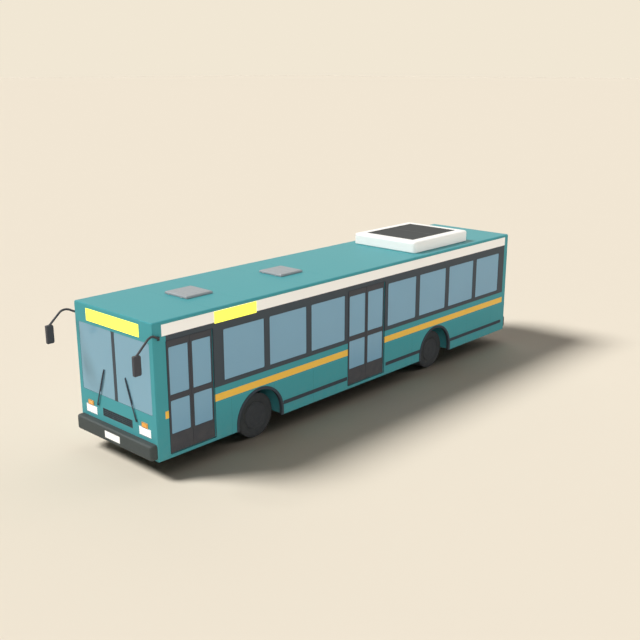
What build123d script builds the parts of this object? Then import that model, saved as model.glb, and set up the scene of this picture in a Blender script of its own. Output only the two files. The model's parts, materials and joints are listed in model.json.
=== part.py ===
from build123d import *
import os

# Single-deck city bus with two axles, two passenger doors on its left side and a rear engine.
# Millimetres, +X forward, +Y to the bus's left, +Z up, origin on the ground under the middle of
# the overall box. A station is the distance behind the flat front face. Sides are distances from
# the bus's middle plane, and heights are from the ground.

# ---------------------------------------------------------------- body shell
BODY_LENGTH = 12150
BODY_WIDTH = 2530
ROOF_TOP = 3075
SKIRT_BOTTOM = 355
EDGE_RADIUS = 22
ROOF_EDGE_RADIUS = 45
SIDE_THICKNESS = 60
ROOF_THICKNESS = 60
END_THICKNESS = 60
FRONT_END_DEPTH = 207
REAR_END_DEPTH = 163
PAINT_THICKNESS = 2
CUT_MARGIN = 1

HALF_WIDTH = BODY_WIDTH / 2
INNER_HALF_WIDTH = HALF_WIDTH - SIDE_THICKNESS
CEILING = ROOF_TOP - ROOF_THICKNESS
SIDES_START = FRONT_END_DEPTH
SIDES_END = BODY_LENGTH - REAR_END_DEPTH
REAR_WALL = BODY_LENGTH - END_THICKNESS

# ---------------------------------------------------------------- wheels and axles
FRONT_OVERHANG = 2650
WHEELBASE = 6186
TYRE_RADIUS = 482
TYRE_WIDTH = 275
TYRE_SHOULDER = 34
RIM_RADIUS = 286
RIM_WIDTH = 222
RIM_WALL = 22
TYRE_SIDE_INSET = 149
TWIN_SPACING = 320
HUB_RADIUS = 118
HUB_CAP_STEP = 18
HUB_CAP_INSET = 30
HUB_FLANGE_REACH = 20
HUB_CLEARANCE = 8
HUB_END_WALL = 26
FRONT_DISC_RADIUS = 170
FRONT_DISC_THICKNESS = 16
FRONT_DISC_OUTER = 58
FRONT_HUB_END = 118
TWIN_DISC_RADIUS = 200
TWIN_DISC_HALF = 9
TWIN_HUB_END = 165
TWIN_HUB_INNER_END = 120
TWIN_DISC_TAPER = 20
RIM_FLARE = 6
HAND_HOLE_COUNT = 8
HAND_HOLE_RADIUS = 24
HAND_HOLE_CIRCLE = 218
SPINDLE_RADIUS = 40
PIN_FIT = 0.5
KINGPIN_OFFSET = 120
KINGPIN_RADIUS = 22
EYE_RADIUS = 45
EYE_HEIGHT = 80
FORK_GAP = 6
FORK_THICKNESS = 28
KNUCKLE_WEB_START = 60
KNUCKLE_WEB_THICKNESS = 30
AXLE_TUBE_RADIUS = 75
AXLE_TUBE_HUB_GAP = 20
AXLE_CASE_RADIUS = 190
AXLE_CASE_FRONT = 165
AXLE_CASE_BELOW = 170
AXLE_CASE_ABOVE = 150
AIR_SPRING_RADIUS = 50
BEAM_HEIGHT = 75
BEAM_DROP = 10
BEAM_HORN_WIDTH = 80
BEAM_PAD_LENGTH = 160

FRONT_AXLE = FRONT_OVERHANG
REAR_AXLE = FRONT_OVERHANG + WHEELBASE
AXLES = (FRONT_AXLE, REAR_AXLE)
WHEEL_SIDE = HALF_WIDTH - TYRE_SIDE_INSET - TYRE_WIDTH / 2
INNER_TWIN_SIDE = WHEEL_SIDE - TWIN_SPACING
TWIN_MIDDLE = WHEEL_SIDE - TWIN_SPACING / 2
KINGPIN_SIDE = WHEEL_SIDE - KINGPIN_OFFSET
KNUCKLE_WEB_END = KNUCKLE_WEB_START + KNUCKLE_WEB_THICKNESS

# ---------------------------------------------------------------- wheel arches and rub rails
ARCH_RADIUS = 670
ARCH_TRIM_WIDTH = 60
ARCH_TRIM_PROUD = 12
ARCH_FLANGE = 15
HOUSING_THICKNESS = 12
HOUSING_TYRE_GAP = 51
AXLE_NOTCH_GAP = 30
RUB_RAIL_HEIGHT = 82
RUB_RAIL_ABOVE_SKIRT = 225
RUB_RAIL_BEFORE_DOOR = 35
RUB_RAIL_AFTER_DOOR = 80
RUB_RAIL_REAR_MARGIN = 17

HOUSING_INNER_SIDE = INNER_TWIN_SIDE - TYRE_WIDTH / 2 - HOUSING_TYRE_GAP
ARCH_INNER = ARCH_RADIUS - ARCH_TRIM_WIDTH
ARCH_OPENING = ARCH_INNER + ARCH_FLANGE
HOUSING_RADIUS = ARCH_OPENING + HOUSING_THICKNESS
RUB_RAIL_BOTTOM = SKIRT_BOTTOM + RUB_RAIL_ABOVE_SKIRT

# ---------------------------------------------------------------- stripes and window band
ROOF_EDGE_HEIGHT = 63
CANTRAIL_HEIGHT = 222
BELT_ABOVE_ARCH = 19
BELT_HEIGHT = 148
BAND_ABOVE_BELT = 143
BAND_REAR_MARGIN = 8
BAND_THICKNESS = 12
BAND_PROUD = 2
WINDOW_SILL = 95
WINDOW_HEAD = 183
WINDOW_WIDTH = 1103
WINDOW_POST = 152
DOOR_POST = 119
FRONT_DOOR_POST = 264.5
END_POST = 100
FRONT_WINDOW_COUNT = 3
DRIVER_WINDOW_WIDTH = 1000
GLASS_THICKNESS = 8
GLASS_INSET = 3

CANTRAIL_TOP = ROOF_TOP - ROOF_EDGE_HEIGHT
CANTRAIL_BOTTOM = CANTRAIL_TOP - CANTRAIL_HEIGHT
BELT_BOTTOM = TYRE_RADIUS + ARCH_RADIUS + BELT_ABOVE_ARCH
BELT_TOP = BELT_BOTTOM + BELT_HEIGHT
BAND_BOTTOM = BELT_TOP + BAND_ABOVE_BELT
WINDOW_BOTTOM = BAND_BOTTOM + WINDOW_SILL
WINDOW_TOP = CANTRAIL_BOTTOM - WINDOW_HEAD
WINDOW_PITCH = WINDOW_WIDTH + WINDOW_POST

# ---------------------------------------------------------------- floor levels
FLOOR_TOP = 425
FLOOR_THICKNESS = 50
RAISED_FLOOR_RISE = 425
RAISED_FLOOR_AFTER_DOOR = 426.5
STEP_LENGTH = 300
ENGINE_COVER_RISE = 380
ENGINE_COVER_LEAD = 300

RAISED_FLOOR_TOP = FLOOR_TOP + RAISED_FLOOR_RISE
ENGINE_COVER_TOP = RAISED_FLOOR_TOP + ENGINE_COVER_RISE

# ---------------------------------------------------------------- passenger doors
DOOR_SILL = 7
DOOR_HEAD = 110
FRONT_DOOR_MARGIN = 90
FRONT_DOOR_WIDTH = 1121
MIDDLE_DOOR_WIDTH = 1309
DOOR_GAP = 6
DOOR_MEETING_GAP = 10
DOOR_END_CLEARANCE = 8
DOOR_THICKNESS = 36
DOOR_INSET = 12
DOOR_STILE = 45
DOOR_MEETING_STILE = 42
DOOR_KICK_PANEL = 384
DOOR_LOWER_GLASS_HEIGHT = 673
DOOR_WAIST = 111
DOOR_TOP_RAIL = 134
DOOR_PIN_RADIUS = 9
DOOR_PIN_LENGTH = 28

DOOR_BOTTOM = FLOOR_TOP + DOOR_SILL
DOOR_TOP = CANTRAIL_BOTTOM - DOOR_HEAD
DOOR_OUTER = HALF_WIDTH - DOOR_INSET
DOOR_AXIS_SIDE = DOOR_OUTER - DOOR_THICKNESS / 2
DOOR_LOWER_GLASS_TOP = DOOR_BOTTOM + DOOR_KICK_PANEL + DOOR_LOWER_GLASS_HEIGHT
DOOR_LOWER_GLASS = (DOOR_BOTTOM + DOOR_KICK_PANEL, DOOR_LOWER_GLASS_TOP)
DOOR_UPPER_GLASS = (DOOR_LOWER_GLASS_TOP + DOOR_WAIST, DOOR_TOP - DOOR_TOP_RAIL)
FRONT_DOOR_START = FRONT_END_DEPTH + FRONT_DOOR_MARGIN
FRONT_DOOR_END = FRONT_DOOR_START + FRONT_DOOR_WIDTH
FRONT_WINDOWS_START = FRONT_DOOR_END + FRONT_DOOR_POST
FRONT_WINDOWS_END = FRONT_WINDOWS_START + FRONT_WINDOW_COUNT * WINDOW_PITCH - WINDOW_POST
MIDDLE_DOOR_START = FRONT_WINDOWS_END + DOOR_POST
MIDDLE_DOOR_END = MIDDLE_DOOR_START + MIDDLE_DOOR_WIDTH
REAR_WINDOWS_START = MIDDLE_DOOR_END + DOOR_POST
BAND_END = SIDES_END - BAND_REAR_MARGIN
REAR_WINDOWS_ROOM = BAND_END - END_POST - REAR_WINDOWS_START
REAR_WINDOW_COUNT = int((REAR_WINDOWS_ROOM + WINDOW_POST) / WINDOW_PITCH)
DOOR_OPENINGS = {
    "front": (FRONT_DOOR_START, FRONT_DOOR_END),
    "middle": (MIDDLE_DOOR_START, MIDDLE_DOOR_END),
}
RAISED_FLOOR_START = MIDDLE_DOOR_END + RAISED_FLOOR_AFTER_DOOR

# ---------------------------------------------------------------- bumpers and plates
BUMPER_SIDE_MARGIN = 25
BUMPER_BOTTOM = 395
BUMPER_HEIGHT = 305
BUMPER_CORNER = 60
BUMPER_EDGE = 46
FRONT_BUMPER_DEPTH = 150
REAR_BUMPER_DEPTH = 115
PLATE_WIDTH = 490
PLATE_HEIGHT = 140
PLATE_ABOVE_BUMPER_BOTTOM = 160
PLATE_PROUD = 6
TOW_SOCKET_RADIUS = 21
TOW_SOCKET_DEPTH = 70
TOW_SOCKET_SIDE = 700

BUMPER_HALF_WIDTH = HALF_WIDTH - BUMPER_SIDE_MARGIN
BUMPER_TOP = BUMPER_BOTTOM + BUMPER_HEIGHT
PLATE_CENTRE = BUMPER_BOTTOM + PLATE_ABOVE_BUMPER_BOTTOM

# ---------------------------------------------------------------- front end
PILLAR_WIDTH = 120
WINDSCREEN_BOTTOM = 1259
WINDSCREEN_HEAD = 117
MULLION_WIDTH = 90
FRONT_SIGN_WIDTH = 1712
REAR_SIGN_WIDTH = 600
SIGN_ABOVE_WINDSCREEN = 64
SIGN_HEIGHT = 248
SIGN_PROUD = 6
SIGN_DEPTH = 24
SIDE_SIGN_AFTER_DOOR = 52
SIDE_SIGN_LENGTH = 1110
SIDE_SIGN_DROP = 22
SIDE_SIGN_TOP_MARGIN = 9
SIDE_SIGN_PROUD = 10
HEADLAMP_SIDE_MARGIN = 198
HEADLAMP_WIDTH = 364
HEADLAMP_HEIGHT = 170
HEADLAMP_ABOVE_BUMPER = 84
HEADLAMP_PROUD = 6
LAMP_DEPTH = 30
INDICATOR_WIDTH = 168
INDICATOR_HEIGHT = 96
INDICATOR_INSET = 104
INDICATOR_GAP = 8
INDICATOR_PROUD = 20
GRILLE_WIDTH = 982
GRILLE_HEIGHT = 170
GRILLE_ABOVE_BUMPER = 128
GRILLE_DEPTH = 36
GRILLE_BACK = 8
GRILLE_RIM = 12
GRILLE_SLATS = 3

WINDSCREEN_HALF_WIDTH = HALF_WIDTH - PILLAR_WIDTH
WINDSCREEN_TOP = CANTRAIL_BOTTOM - WINDSCREEN_HEAD
WINDSCREEN_HEIGHTS = (WINDSCREEN_BOTTOM, WINDSCREEN_TOP)
SIGN_BOTTOM = WINDSCREEN_TOP + SIGN_ABOVE_WINDSCREEN
SIGN_HEIGHTS = (SIGN_BOTTOM, SIGN_BOTTOM + SIGN_HEIGHT)
FRONT_SIGN_SIDES = (-FRONT_SIGN_WIDTH / 2, FRONT_SIGN_WIDTH / 2)
REAR_SIGN_SIDES = (-REAR_SIGN_WIDTH / 2, REAR_SIGN_WIDTH / 2)
SIDE_SIGN_START = FRONT_DOOR_END + SIDE_SIGN_AFTER_DOOR
SIDE_SIGN = (SIDE_SIGN_START, SIDE_SIGN_START + SIDE_SIGN_LENGTH)
SIDE_SIGN_HEIGHTS = (CANTRAIL_BOTTOM - SIDE_SIGN_DROP, CANTRAIL_TOP - SIDE_SIGN_TOP_MARGIN)
HEADLAMP_OUTER = HALF_WIDTH - HEADLAMP_SIDE_MARGIN
HEADLAMP_INNER = HEADLAMP_OUTER - HEADLAMP_WIDTH
HEADLAMP_BOTTOM = BUMPER_TOP + HEADLAMP_ABOVE_BUMPER
HEADLAMP_TOP = HEADLAMP_BOTTOM + HEADLAMP_HEIGHT
INDICATOR_BOTTOM = HEADLAMP_TOP + INDICATOR_GAP
INDICATOR_INNER = HEADLAMP_INNER + INDICATOR_INSET
GRILLE_HALF_WIDTH = GRILLE_WIDTH / 2
GRILLE_BOTTOM = BUMPER_TOP + GRILLE_ABOVE_BUMPER
GRILLE_TOP = GRILLE_BOTTOM + GRILLE_HEIGHT

# ---------------------------------------------------------------- rear end
TAIL_LAMP_SIDE_MARGIN = 70
TAIL_LAMP_WIDTH = 150
TAIL_LAMP_HEIGHT = 320
TAIL_LAMP_ABOVE_BUMPER = 160
REAR_INDICATOR_GAP = 20
REAR_INDICATOR_HEIGHT = 130
ENGINE_DOOR_SIDE_MARGIN = 400
ENGINE_DOOR_ABOVE_BUMPER = 60
ENGINE_DOOR_HEIGHT = 640
ENGINE_DOOR_GAP = 8
ENGINE_DOOR_THICKNESS = 40
ENGINE_HINGE_PROUD = 14
ENGINE_HINGE_RISE = 4
ENGINE_STRAP_THICKNESS = 8
ENGINE_STRAP_LENGTH = 80
ENGINE_LUG_HEIGHT = 34
ENGINE_LUG_RISE = 12
REAR_WINDOW_SIDE_MARGIN = 300
REAR_WINDOW_SILL = 200
REAR_WINDOW_HEAD = 240

TAIL_LAMP_OUTER = HALF_WIDTH - TAIL_LAMP_SIDE_MARGIN
TAIL_LAMP_SIDES = (TAIL_LAMP_OUTER - TAIL_LAMP_WIDTH, TAIL_LAMP_OUTER)
TAIL_LAMP_BOTTOM = BUMPER_TOP + TAIL_LAMP_ABOVE_BUMPER
TAIL_LAMP_TOP = TAIL_LAMP_BOTTOM + TAIL_LAMP_HEIGHT
REAR_INDICATOR_BOTTOM = TAIL_LAMP_TOP + REAR_INDICATOR_GAP
ENGINE_DOOR_HALF_WIDTH = HALF_WIDTH - ENGINE_DOOR_SIDE_MARGIN
ENGINE_DOOR_BOTTOM = BUMPER_TOP + ENGINE_DOOR_ABOVE_BUMPER
ENGINE_DOOR_TOP = ENGINE_DOOR_BOTTOM + ENGINE_DOOR_HEIGHT
REAR_WINDOW_HALF_WIDTH = HALF_WIDTH - REAR_WINDOW_SIDE_MARGIN
REAR_WINDOW_HEIGHTS = (ENGINE_DOOR_TOP + REAR_WINDOW_SILL, CANTRAIL_BOTTOM - REAR_WINDOW_HEAD)

# ---------------------------------------------------------------- wipers and mirrors
WIPER_FOOT_INSET = 63
WIPER_FOOT_DROP = 229
WIPER_TIP_INSET = 290
WIPER_RISE = 800
WIPER_STANDOFF = 22
WIPER_SECTION = 16
WIPER_BLADE_LENGTH = 528
WIPER_PIVOT_RADIUS = 22
WIPER_PIVOT_CLEARANCE = 1
MIRROR_AHEAD = 492
MIRROR_OUT = 167
MIRROR_BELOW_ROOF = 639
MIRROR_HEAD_DEPTH = 145
MIRROR_HEAD_WIDTH = 85
MIRROR_HEAD_HEIGHT = 375
MIRROR_HEAD_ROUND = 18
MIRROR_FOOT_STATION = 112
MIRROR_FOOT_BELOW_ROOF = 295
MIRROR_ELBOW_AHEAD = 149
MIRROR_ELBOW_OUT = 154
MIRROR_ELBOW_RISE = 140
MIRROR_ELBOW_RADIUS = 190
MIRROR_ARM_RADIUS = 22
MIRROR_BARREL_RADIUS = 24
MIRROR_BARREL_HEIGHT = 70
MIRROR_PIN_RADIUS = 6
MIRROR_HINGE_OUT = 30
MIRROR_PLATE = 6
MIRROR_PLATE_GAP = 6

WIPER_FOOT_SIDE = HEADLAMP_INNER - WIPER_FOOT_INSET
WIPER_TIP_SIDE = WIPER_FOOT_SIDE - WIPER_TIP_INSET
WIPER_FOOT_HEIGHT = WINDSCREEN_BOTTOM - WIPER_FOOT_DROP
WIPER_TIP_HEIGHT = WIPER_FOOT_HEIGHT + WIPER_RISE
MIRROR_SIDE = HALF_WIDTH + MIRROR_OUT
MIRROR_HEIGHT = ROOF_TOP - MIRROR_BELOW_ROOF
MIRROR_FOOT_SIDE = HALF_WIDTH + MIRROR_HINGE_OUT
MIRROR_FOOT_HEIGHT = ROOF_TOP - MIRROR_FOOT_BELOW_ROOF

# ---------------------------------------------------------------- roof equipment
AIRCON_LEAD = 618
AIRCON_LENGTH = 2334
AIRCON_WIDTH = 1966
AIRCON_HEIGHT = 286
AIRCON_ROUND = 90
AIRCON_TOP_ROUND = 60
AIRCON_FOOT_ROUND = 30
AIRCON_PANEL_MARGIN = 246
AIRCON_PANEL_DEPTH = 20
AIRCON_PANEL_PROUD = 6
FRONT_HATCH_STATION = 1890
HATCH_SPACING = 2650
HATCH_LENGTH = 680
HATCH_WIDTH = 696
HATCH_THICKNESS = 46
HATCH_BEVEL = 16
HATCH_LIFT = 6
HATCH_OVERLAP = 70
ROOF_SEAM = 3
ROOF_SEAM_MARGIN = 120
HINGE_RADIUS = 9
HINGE_PIN_RADIUS = 4
HINGE_LUG_WIDTH = 60
HINGE_LUG_OFFSET = 200
HINGE_AHEAD = 8
HINGE_RISE = 2
HINGE_CHEEK_HALF = 7
HINGE_CHEEK_WIDTH = 8
HINGE_CHEEK_GAP = 2
HINGE_TONGUE_LENGTH = 40
HINGE_TONGUE_THICKNESS = 8

AIRCON_START = REAR_AXLE - AIRCON_LEAD
AIRCON_STATIONS = (AIRCON_START, AIRCON_START + AIRCON_LENGTH)
AIRCON_HALF_WIDTH = AIRCON_WIDTH / 2
ROOF_SEAM_REACH = HATCH_LENGTH / 2 + ROOF_SEAM_MARGIN
HATCH_STATIONS = {"front": FRONT_HATCH_STATION, "rear": FRONT_HATCH_STATION + HATCH_SPACING}
HINGE_CHEEK_SIDE = HINGE_LUG_WIDTH / 2 + HINGE_CHEEK_GAP + HINGE_CHEEK_WIDTH / 2
HINGE_PIN_LENGTH = 2 * HINGE_CHEEK_SIDE

# ---------------------------------------------------------------- frame and engine
RAIL_HOUSING_GAP = 18
RAIL_WIDTH = 80
LOW_RAIL_HEIGHT = 80
HIGH_RAIL_HEIGHT = 140
CROSS_MEMBER_LENGTH = 80
LOW_CROSS_MEMBER_START = 300
LOW_CROSS_MEMBER_PITCH = 1400
HIGH_CROSS_MEMBER_LEAD = 550
HIGH_CROSS_MEMBER_PITCH = 2000
JACK_PAD_LENGTH = 120
JACK_PAD_THICKNESS = 12
JACK_BEHIND_AXLE = 850
ENGINE_LENGTH = 1200
ENGINE_HEIGHT = 700
ENGINE_REAR_GAP = 190
ENGINE_TOP_GAP = 40
ENGINE_EDGE = 30

RAIL_SIDE = HOUSING_INNER_SIDE - HOUSING_THICKNESS - RAIL_HOUSING_GAP - RAIL_WIDTH / 2
LOW_FLOOR_BOTTOM = FLOOR_TOP - FLOOR_THICKNESS
RAISED_FLOOR_BOTTOM = RAISED_FLOOR_TOP - FLOOR_THICKNESS
LOW_RAIL_BOTTOM = LOW_FLOOR_BOTTOM - LOW_RAIL_HEIGHT
HIGH_RAIL_BOTTOM = RAISED_FLOOR_BOTTOM - HIGH_RAIL_HEIGHT
RAIL_INNER = RAIL_SIDE - RAIL_WIDTH / 2
RAIL_OUTER = RAIL_SIDE + RAIL_WIDTH / 2
ENGINE_END = REAR_WALL - ENGINE_REAR_GAP
ENGINE_START = ENGINE_END - ENGINE_LENGTH
ENGINE_TOP = ENGINE_COVER_TOP - FLOOR_THICKNESS - ENGINE_TOP_GAP
ENGINE_COVER_START = ENGINE_START - ENGINE_COVER_LEAD
# Jacking points: station, underside of the rail there
JACK_POINTS = {
    "front": (FRONT_AXLE + JACK_BEHIND_AXLE, LOW_RAIL_BOTTOM),
    "rear": (REAR_AXLE + JACK_BEHIND_AXLE, HIGH_RAIL_BOTTOM),
}

# ---------------------------------------------------------------- cabin
SEAT_AISLE_SIDE = 330
SEAT_CUSHION = 430
SEAT_CUSHION_THICKNESS = 90
SEAT_BACK_THICKNESS = 80
SEAT_BACK_HEIGHT = 620
SEAT_CUSHION_TOP = 440
SEAT_TOP_ROUND = 32
SEAT_LEG = 40
SEAT_PITCH = 800
LOW_SEAT_ROWS = 2
LOW_SEAT_BEFORE_DOOR = 514.5
BENCH_REAR_GAP = 390
BENCH_SIDE_GAP = 90
DRIVER_SEAT_WIDTH = 480
DRIVER_SIDE = 760
DRIVER_SEAT_GAP = 120
PLATFORM_END = 1600
PLATFORM_HEIGHT = 175
PLATFORM_INNER_SIDE = 330
DASH_DEPTH = 360
DASH_TOP = 1180
DASH_SHELF_DEPTH = 190
DASH_SHELF_DROP = 80
STEERING_WHEEL_RADIUS = 225
STEERING_RIM_RADIUS = 16
STEERING_SPOKE_WIDTH = 40
STEERING_SPOKE_THICKNESS = 16
STEERING_HUB_RADIUS = 50
STEERING_HUB_THICKNESS = 30
STEERING_COLUMN_RADIUS = 32
STEERING_COLUMN_LENGTH = 420
STEERING_WHEEL_STATION = 640
STEERING_WHEEL_ABOVE_DASH = 90
STEERING_WHEEL_TILT = 30
POLE_RADIUS = 17
POLE_SIDE = 420
POLE_BEHIND_SEAT = 140
POLE_AFTER_DOOR = 66
POLE_AFTER_PLATFORM = 50
OVERHEAD_RAIL_SIDE = 520
OVERHEAD_RAIL_DROP = 375
HANGER_END_MARGIN = 60
HANGER_PITCH = 1600

PLATFORM_TOP = FLOOR_TOP + PLATFORM_HEIGHT
DASH_END = END_THICKNESS + DASH_DEPTH
LOW_SEATS_END = MIDDLE_DOOR_START - LOW_SEAT_BEFORE_DOOR
RAISED_SEAT_ROWS = int((ENGINE_COVER_START - RAISED_FLOOR_START) / SEAT_PITCH)
LOW_SEAT_BACKS = [LOW_SEATS_END - row * SEAT_PITCH for row in range(LOW_SEAT_ROWS)]
RAISED_SEAT_BACKS = [RAISED_FLOOR_START + (row + 1) * SEAT_PITCH for row in range(RAISED_SEAT_ROWS)]
# Seat rows: station of the back's rear face, floor level
SEAT_ROWS = [(station, FLOOR_TOP) for station in LOW_SEAT_BACKS]
SEAT_ROWS += [(station, RAISED_FLOOR_TOP) for station in RAISED_SEAT_BACKS]
# Vertical poles: station, floor level
POLES = [(PLATFORM_END + POLE_AFTER_PLATFORM, FLOOR_TOP), (MIDDLE_DOOR_END + POLE_AFTER_DOOR, FLOOR_TOP)]
POLES += [(station + POLE_BEHIND_SEAT, FLOOR_TOP) for station in LOW_SEAT_BACKS]
POLES += [(station + POLE_BEHIND_SEAT, RAISED_FLOOR_TOP) for station in RAISED_SEAT_BACKS[::2]]
OVERHEAD_RAIL_HEIGHT = CEILING - OVERHEAD_RAIL_DROP

MIRROR_TIP_AHEAD = MIRROR_AHEAD + MIRROR_HEAD_DEPTH / 2
REAR_TIP = BODY_LENGTH + REAR_BUMPER_DEPTH + PLATE_PROUD
FRONT_FACE = (REAR_TIP - MIRROR_TIP_AHEAD) / 2


def at(station):
    """X of a station behind the front face."""
    return FRONT_FACE - station


def block(stations, sides, heights):
    """Box between two stations, two distances from the middle and two heights."""
    s0, s1 = stations
    y0, y1 = sides
    z0, z1 = heights
    centre = Pos(at((s0 + s1) / 2), (y0 + y1) / 2, (z0 + z1) / 2)
    return centre * Box(abs(s1 - s0), abs(y1 - y0), abs(z1 - z0))


def across(radius, length):
    """Cylinder lying across the bus."""
    return Rot(90, 0, 0) * Cylinder(radius, length)


def on_both_sides(shape):
    return shape + mirror(shape, Plane.XZ)


def save(shape, node):
    export_step(shape, f"parts/{node}.step")


def arch(axle, radius, sides, bottom):
    """Solid under a wheel arch: a round top about the axle on straight legs down to bottom."""
    y0, y1 = sides
    profile = Plane.XZ * (Pos(at(axle), TYRE_RADIUS) * Circle(radius))
    tunnel = Pos(0, max(y0, y1), 0) * extrude(profile, abs(y1 - y0))
    above = block((axle - radius, axle + radius), sides, (TYRE_RADIUS, TYRE_RADIUS + radius))
    legs = block((axle - radius, axle + radius), sides, (bottom, TYRE_RADIUS))
    return (tunnel & above) + legs


# ---------------------------------------------------------------- shell panels
def shell():
    outer = block((0, BODY_LENGTH), (-HALF_WIDTH, HALF_WIDTH), (SKIRT_BOTTOM, ROOF_TOP))
    outer = fillet(outer.edges().filter_by(Axis.X).group_by(Axis.Z)[-1], ROOF_EDGE_RADIUS)
    ends = outer.edges().group_by(Axis.X)[0] + outer.edges().group_by(Axis.X)[-1]
    outer = fillet(ends.filter_by(lambda edge: edge.center().Z > SKIRT_BOTTOM + CUT_MARGIN), EDGE_RADIUS)
    inner_sides = (-INNER_HALF_WIDTH, INNER_HALF_WIDTH)
    return outer - block((END_THICKNESS, REAR_WALL), inner_sides, (SKIRT_BOTTOM, CEILING))


def window_bays(side):
    """Start station and width of each side window."""
    front = [FRONT_WINDOWS_START + i * WINDOW_PITCH for i in range(FRONT_WINDOW_COUNT)]
    rear = [REAR_WINDOWS_START + i * WINDOW_PITCH for i in range(REAR_WINDOW_COUNT)]
    bays = [(start, WINDOW_WIDTH) for start in front + rear]
    if side > 0:
        return bays
    driver = (FRONT_DOOR_START + FRONT_DOOR_END - DRIVER_WINDOW_WIDTH) / 2
    middle = (MIDDLE_DOOR_START + MIDDLE_DOOR_END - WINDOW_WIDTH) / 2
    return bays + [(driver, DRIVER_WINDOW_WIDTH), (middle, WINDOW_WIDTH)]


def window_blocks(side, sides):
    heights = (WINDOW_BOTTOM, WINDOW_TOP)
    return [block((start, start + width), sides, heights) for start, width in window_bays(side)]


def door_blocks(sides):
    return [block(opening, sides, (DOOR_BOTTOM, DOOR_TOP)) for opening in DOOR_OPENINGS.values()]


def through_wall(side, proud=0):
    """Sides of a cut that passes right through a side wall and what stands proud of it."""
    return (side * (INNER_HALF_WIDTH - CUT_MARGIN), side * (HALF_WIDTH + proud + CUT_MARGIN))


def band_block(side):
    depth = BAND_THICKNESS - BAND_PROUD
    sides = (side * (HALF_WIDTH - depth), side * (HALF_WIDTH + BAND_PROUD))
    return block((FRONT_DOOR_START, BAND_END), sides, (BAND_BOTTOM, CANTRAIL_BOTTOM))


def side_wall(body, side):
    reach = (side * INNER_HALF_WIDTH, side * HALF_WIDTH)
    cut = through_wall(side)
    wall = body & block((SIDES_START, SIDES_END), reach, (SKIRT_BOTTOM, CANTRAIL_TOP))
    wall -= band_block(side)
    for window in window_blocks(side, cut):
        wall -= window
    for axle in AXLES:
        wall -= arch(axle, ARCH_OPENING, cut, SKIRT_BOTTOM)
    if side > 0:
        for door in door_blocks(cut):
            wall -= door
        for pivot in door_pivots():
            wall -= door_pin(pivot, DOOR_PIN_RADIUS + PIN_FIT, DOOR_PIN_LENGTH + DOOR_GAP)
        wall -= block(SIDE_SIGN, (HALF_WIDTH - SIGN_DEPTH, HALF_WIDTH), SIDE_SIGN_HEIGHTS)
    return wall


def roof_panels(body):
    """Roof sheets with a narrow gap each side of the two that hold the hatches."""
    heights = (CANTRAIL_TOP, ROOF_TOP)
    full = (-HALF_WIDTH, HALF_WIDTH)
    panels = body & block((SIDES_START, SIDES_END), full, heights)
    half = HATCH_LENGTH / 2 - HATCH_OVERLAP
    side = HATCH_WIDTH / 2 - HATCH_OVERLAP
    for station in HATCH_STATIONS.values():
        for seam in (station - ROOF_SEAM_REACH, station + ROOF_SEAM_REACH):
            panels -= block((seam, seam + ROOF_SEAM), full, heights)
        panels -= block((station - half, station + half), (-side, side), heights)
        panels += hatch_brackets(station)
    return panels


def front_panel(body):
    panel = body & block((0, SIDES_START), (-HALF_WIDTH, HALF_WIDTH), (SKIRT_BOTTOM, ROOF_TOP))
    through = (-CUT_MARGIN, END_THICKNESS + CUT_MARGIN)
    grille_sides = (-GRILLE_HALF_WIDTH, GRILLE_HALF_WIDTH)
    headlamp_sides = (HEADLAMP_INNER, HEADLAMP_OUTER)
    panel -= block(through, (-WINDSCREEN_HALF_WIDTH, WINDSCREEN_HALF_WIDTH), WINDSCREEN_HEIGHTS)
    panel -= block((0, SIGN_DEPTH), FRONT_SIGN_SIDES, SIGN_HEIGHTS)
    panel -= block((0, GRILLE_DEPTH), grille_sides, (GRILLE_BOTTOM, GRILLE_TOP))
    panel -= on_both_sides(block((0, LAMP_DEPTH), headlamp_sides, (HEADLAMP_BOTTOM, HEADLAMP_TOP)))
    return panel + on_both_sides(mirror_bracket())


def rear_panel(body):
    rear = BODY_LENGTH
    panel = body & block((SIDES_END, rear), (-HALF_WIDTH, HALF_WIDTH), (SKIRT_BOTTOM, ROOF_TOP))
    through = (REAR_WALL - CUT_MARGIN, rear + CUT_MARGIN)
    door_sides = (-ENGINE_DOOR_HALF_WIDTH, ENGINE_DOOR_HALF_WIDTH)
    lamp = block((rear - LAMP_DEPTH, rear), TAIL_LAMP_SIDES, (TAIL_LAMP_BOTTOM, TAIL_LAMP_TOP))
    panel -= block(through, (-REAR_WINDOW_HALF_WIDTH, REAR_WINDOW_HALF_WIDTH), REAR_WINDOW_HEIGHTS)
    panel -= block(through, door_sides, (ENGINE_DOOR_BOTTOM, ENGINE_DOOR_TOP))
    panel -= on_both_sides(lamp)
    panel -= block((rear - SIGN_DEPTH, rear), REAR_SIGN_SIDES, SIGN_HEIGHTS)
    return panel + engine_door_brackets()


# ---------------------------------------------------------------- glazing, stripes and mouldings
def glass_sides(side):
    outer = HALF_WIDTH + BAND_PROUD - GLASS_INSET
    return (side * (outer - GLASS_THICKNESS), side * outer)


def window_frames():
    """Dark bands along both sides, with the windscreen's middle post."""
    post_sides = (-MULLION_WIDTH / 2, MULLION_WIDTH / 2)
    frames = block((-BAND_PROUD, END_THICKNESS), post_sides, WINDSCREEN_HEIGHTS)
    for side in (1, -1):
        band = band_block(side)
        cut = through_wall(side, BAND_PROUD)
        for window in window_blocks(side, cut):
            band -= window
        if side > 0:
            for door in door_blocks(cut):
                band -= door
            sign_sides = (HALF_WIDTH - SIGN_DEPTH, HALF_WIDTH + SIDE_SIGN_PROUD)
            band -= block(SIDE_SIGN, sign_sides, SIDE_SIGN_HEIGHTS)
        frames += band
    return frames


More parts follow.
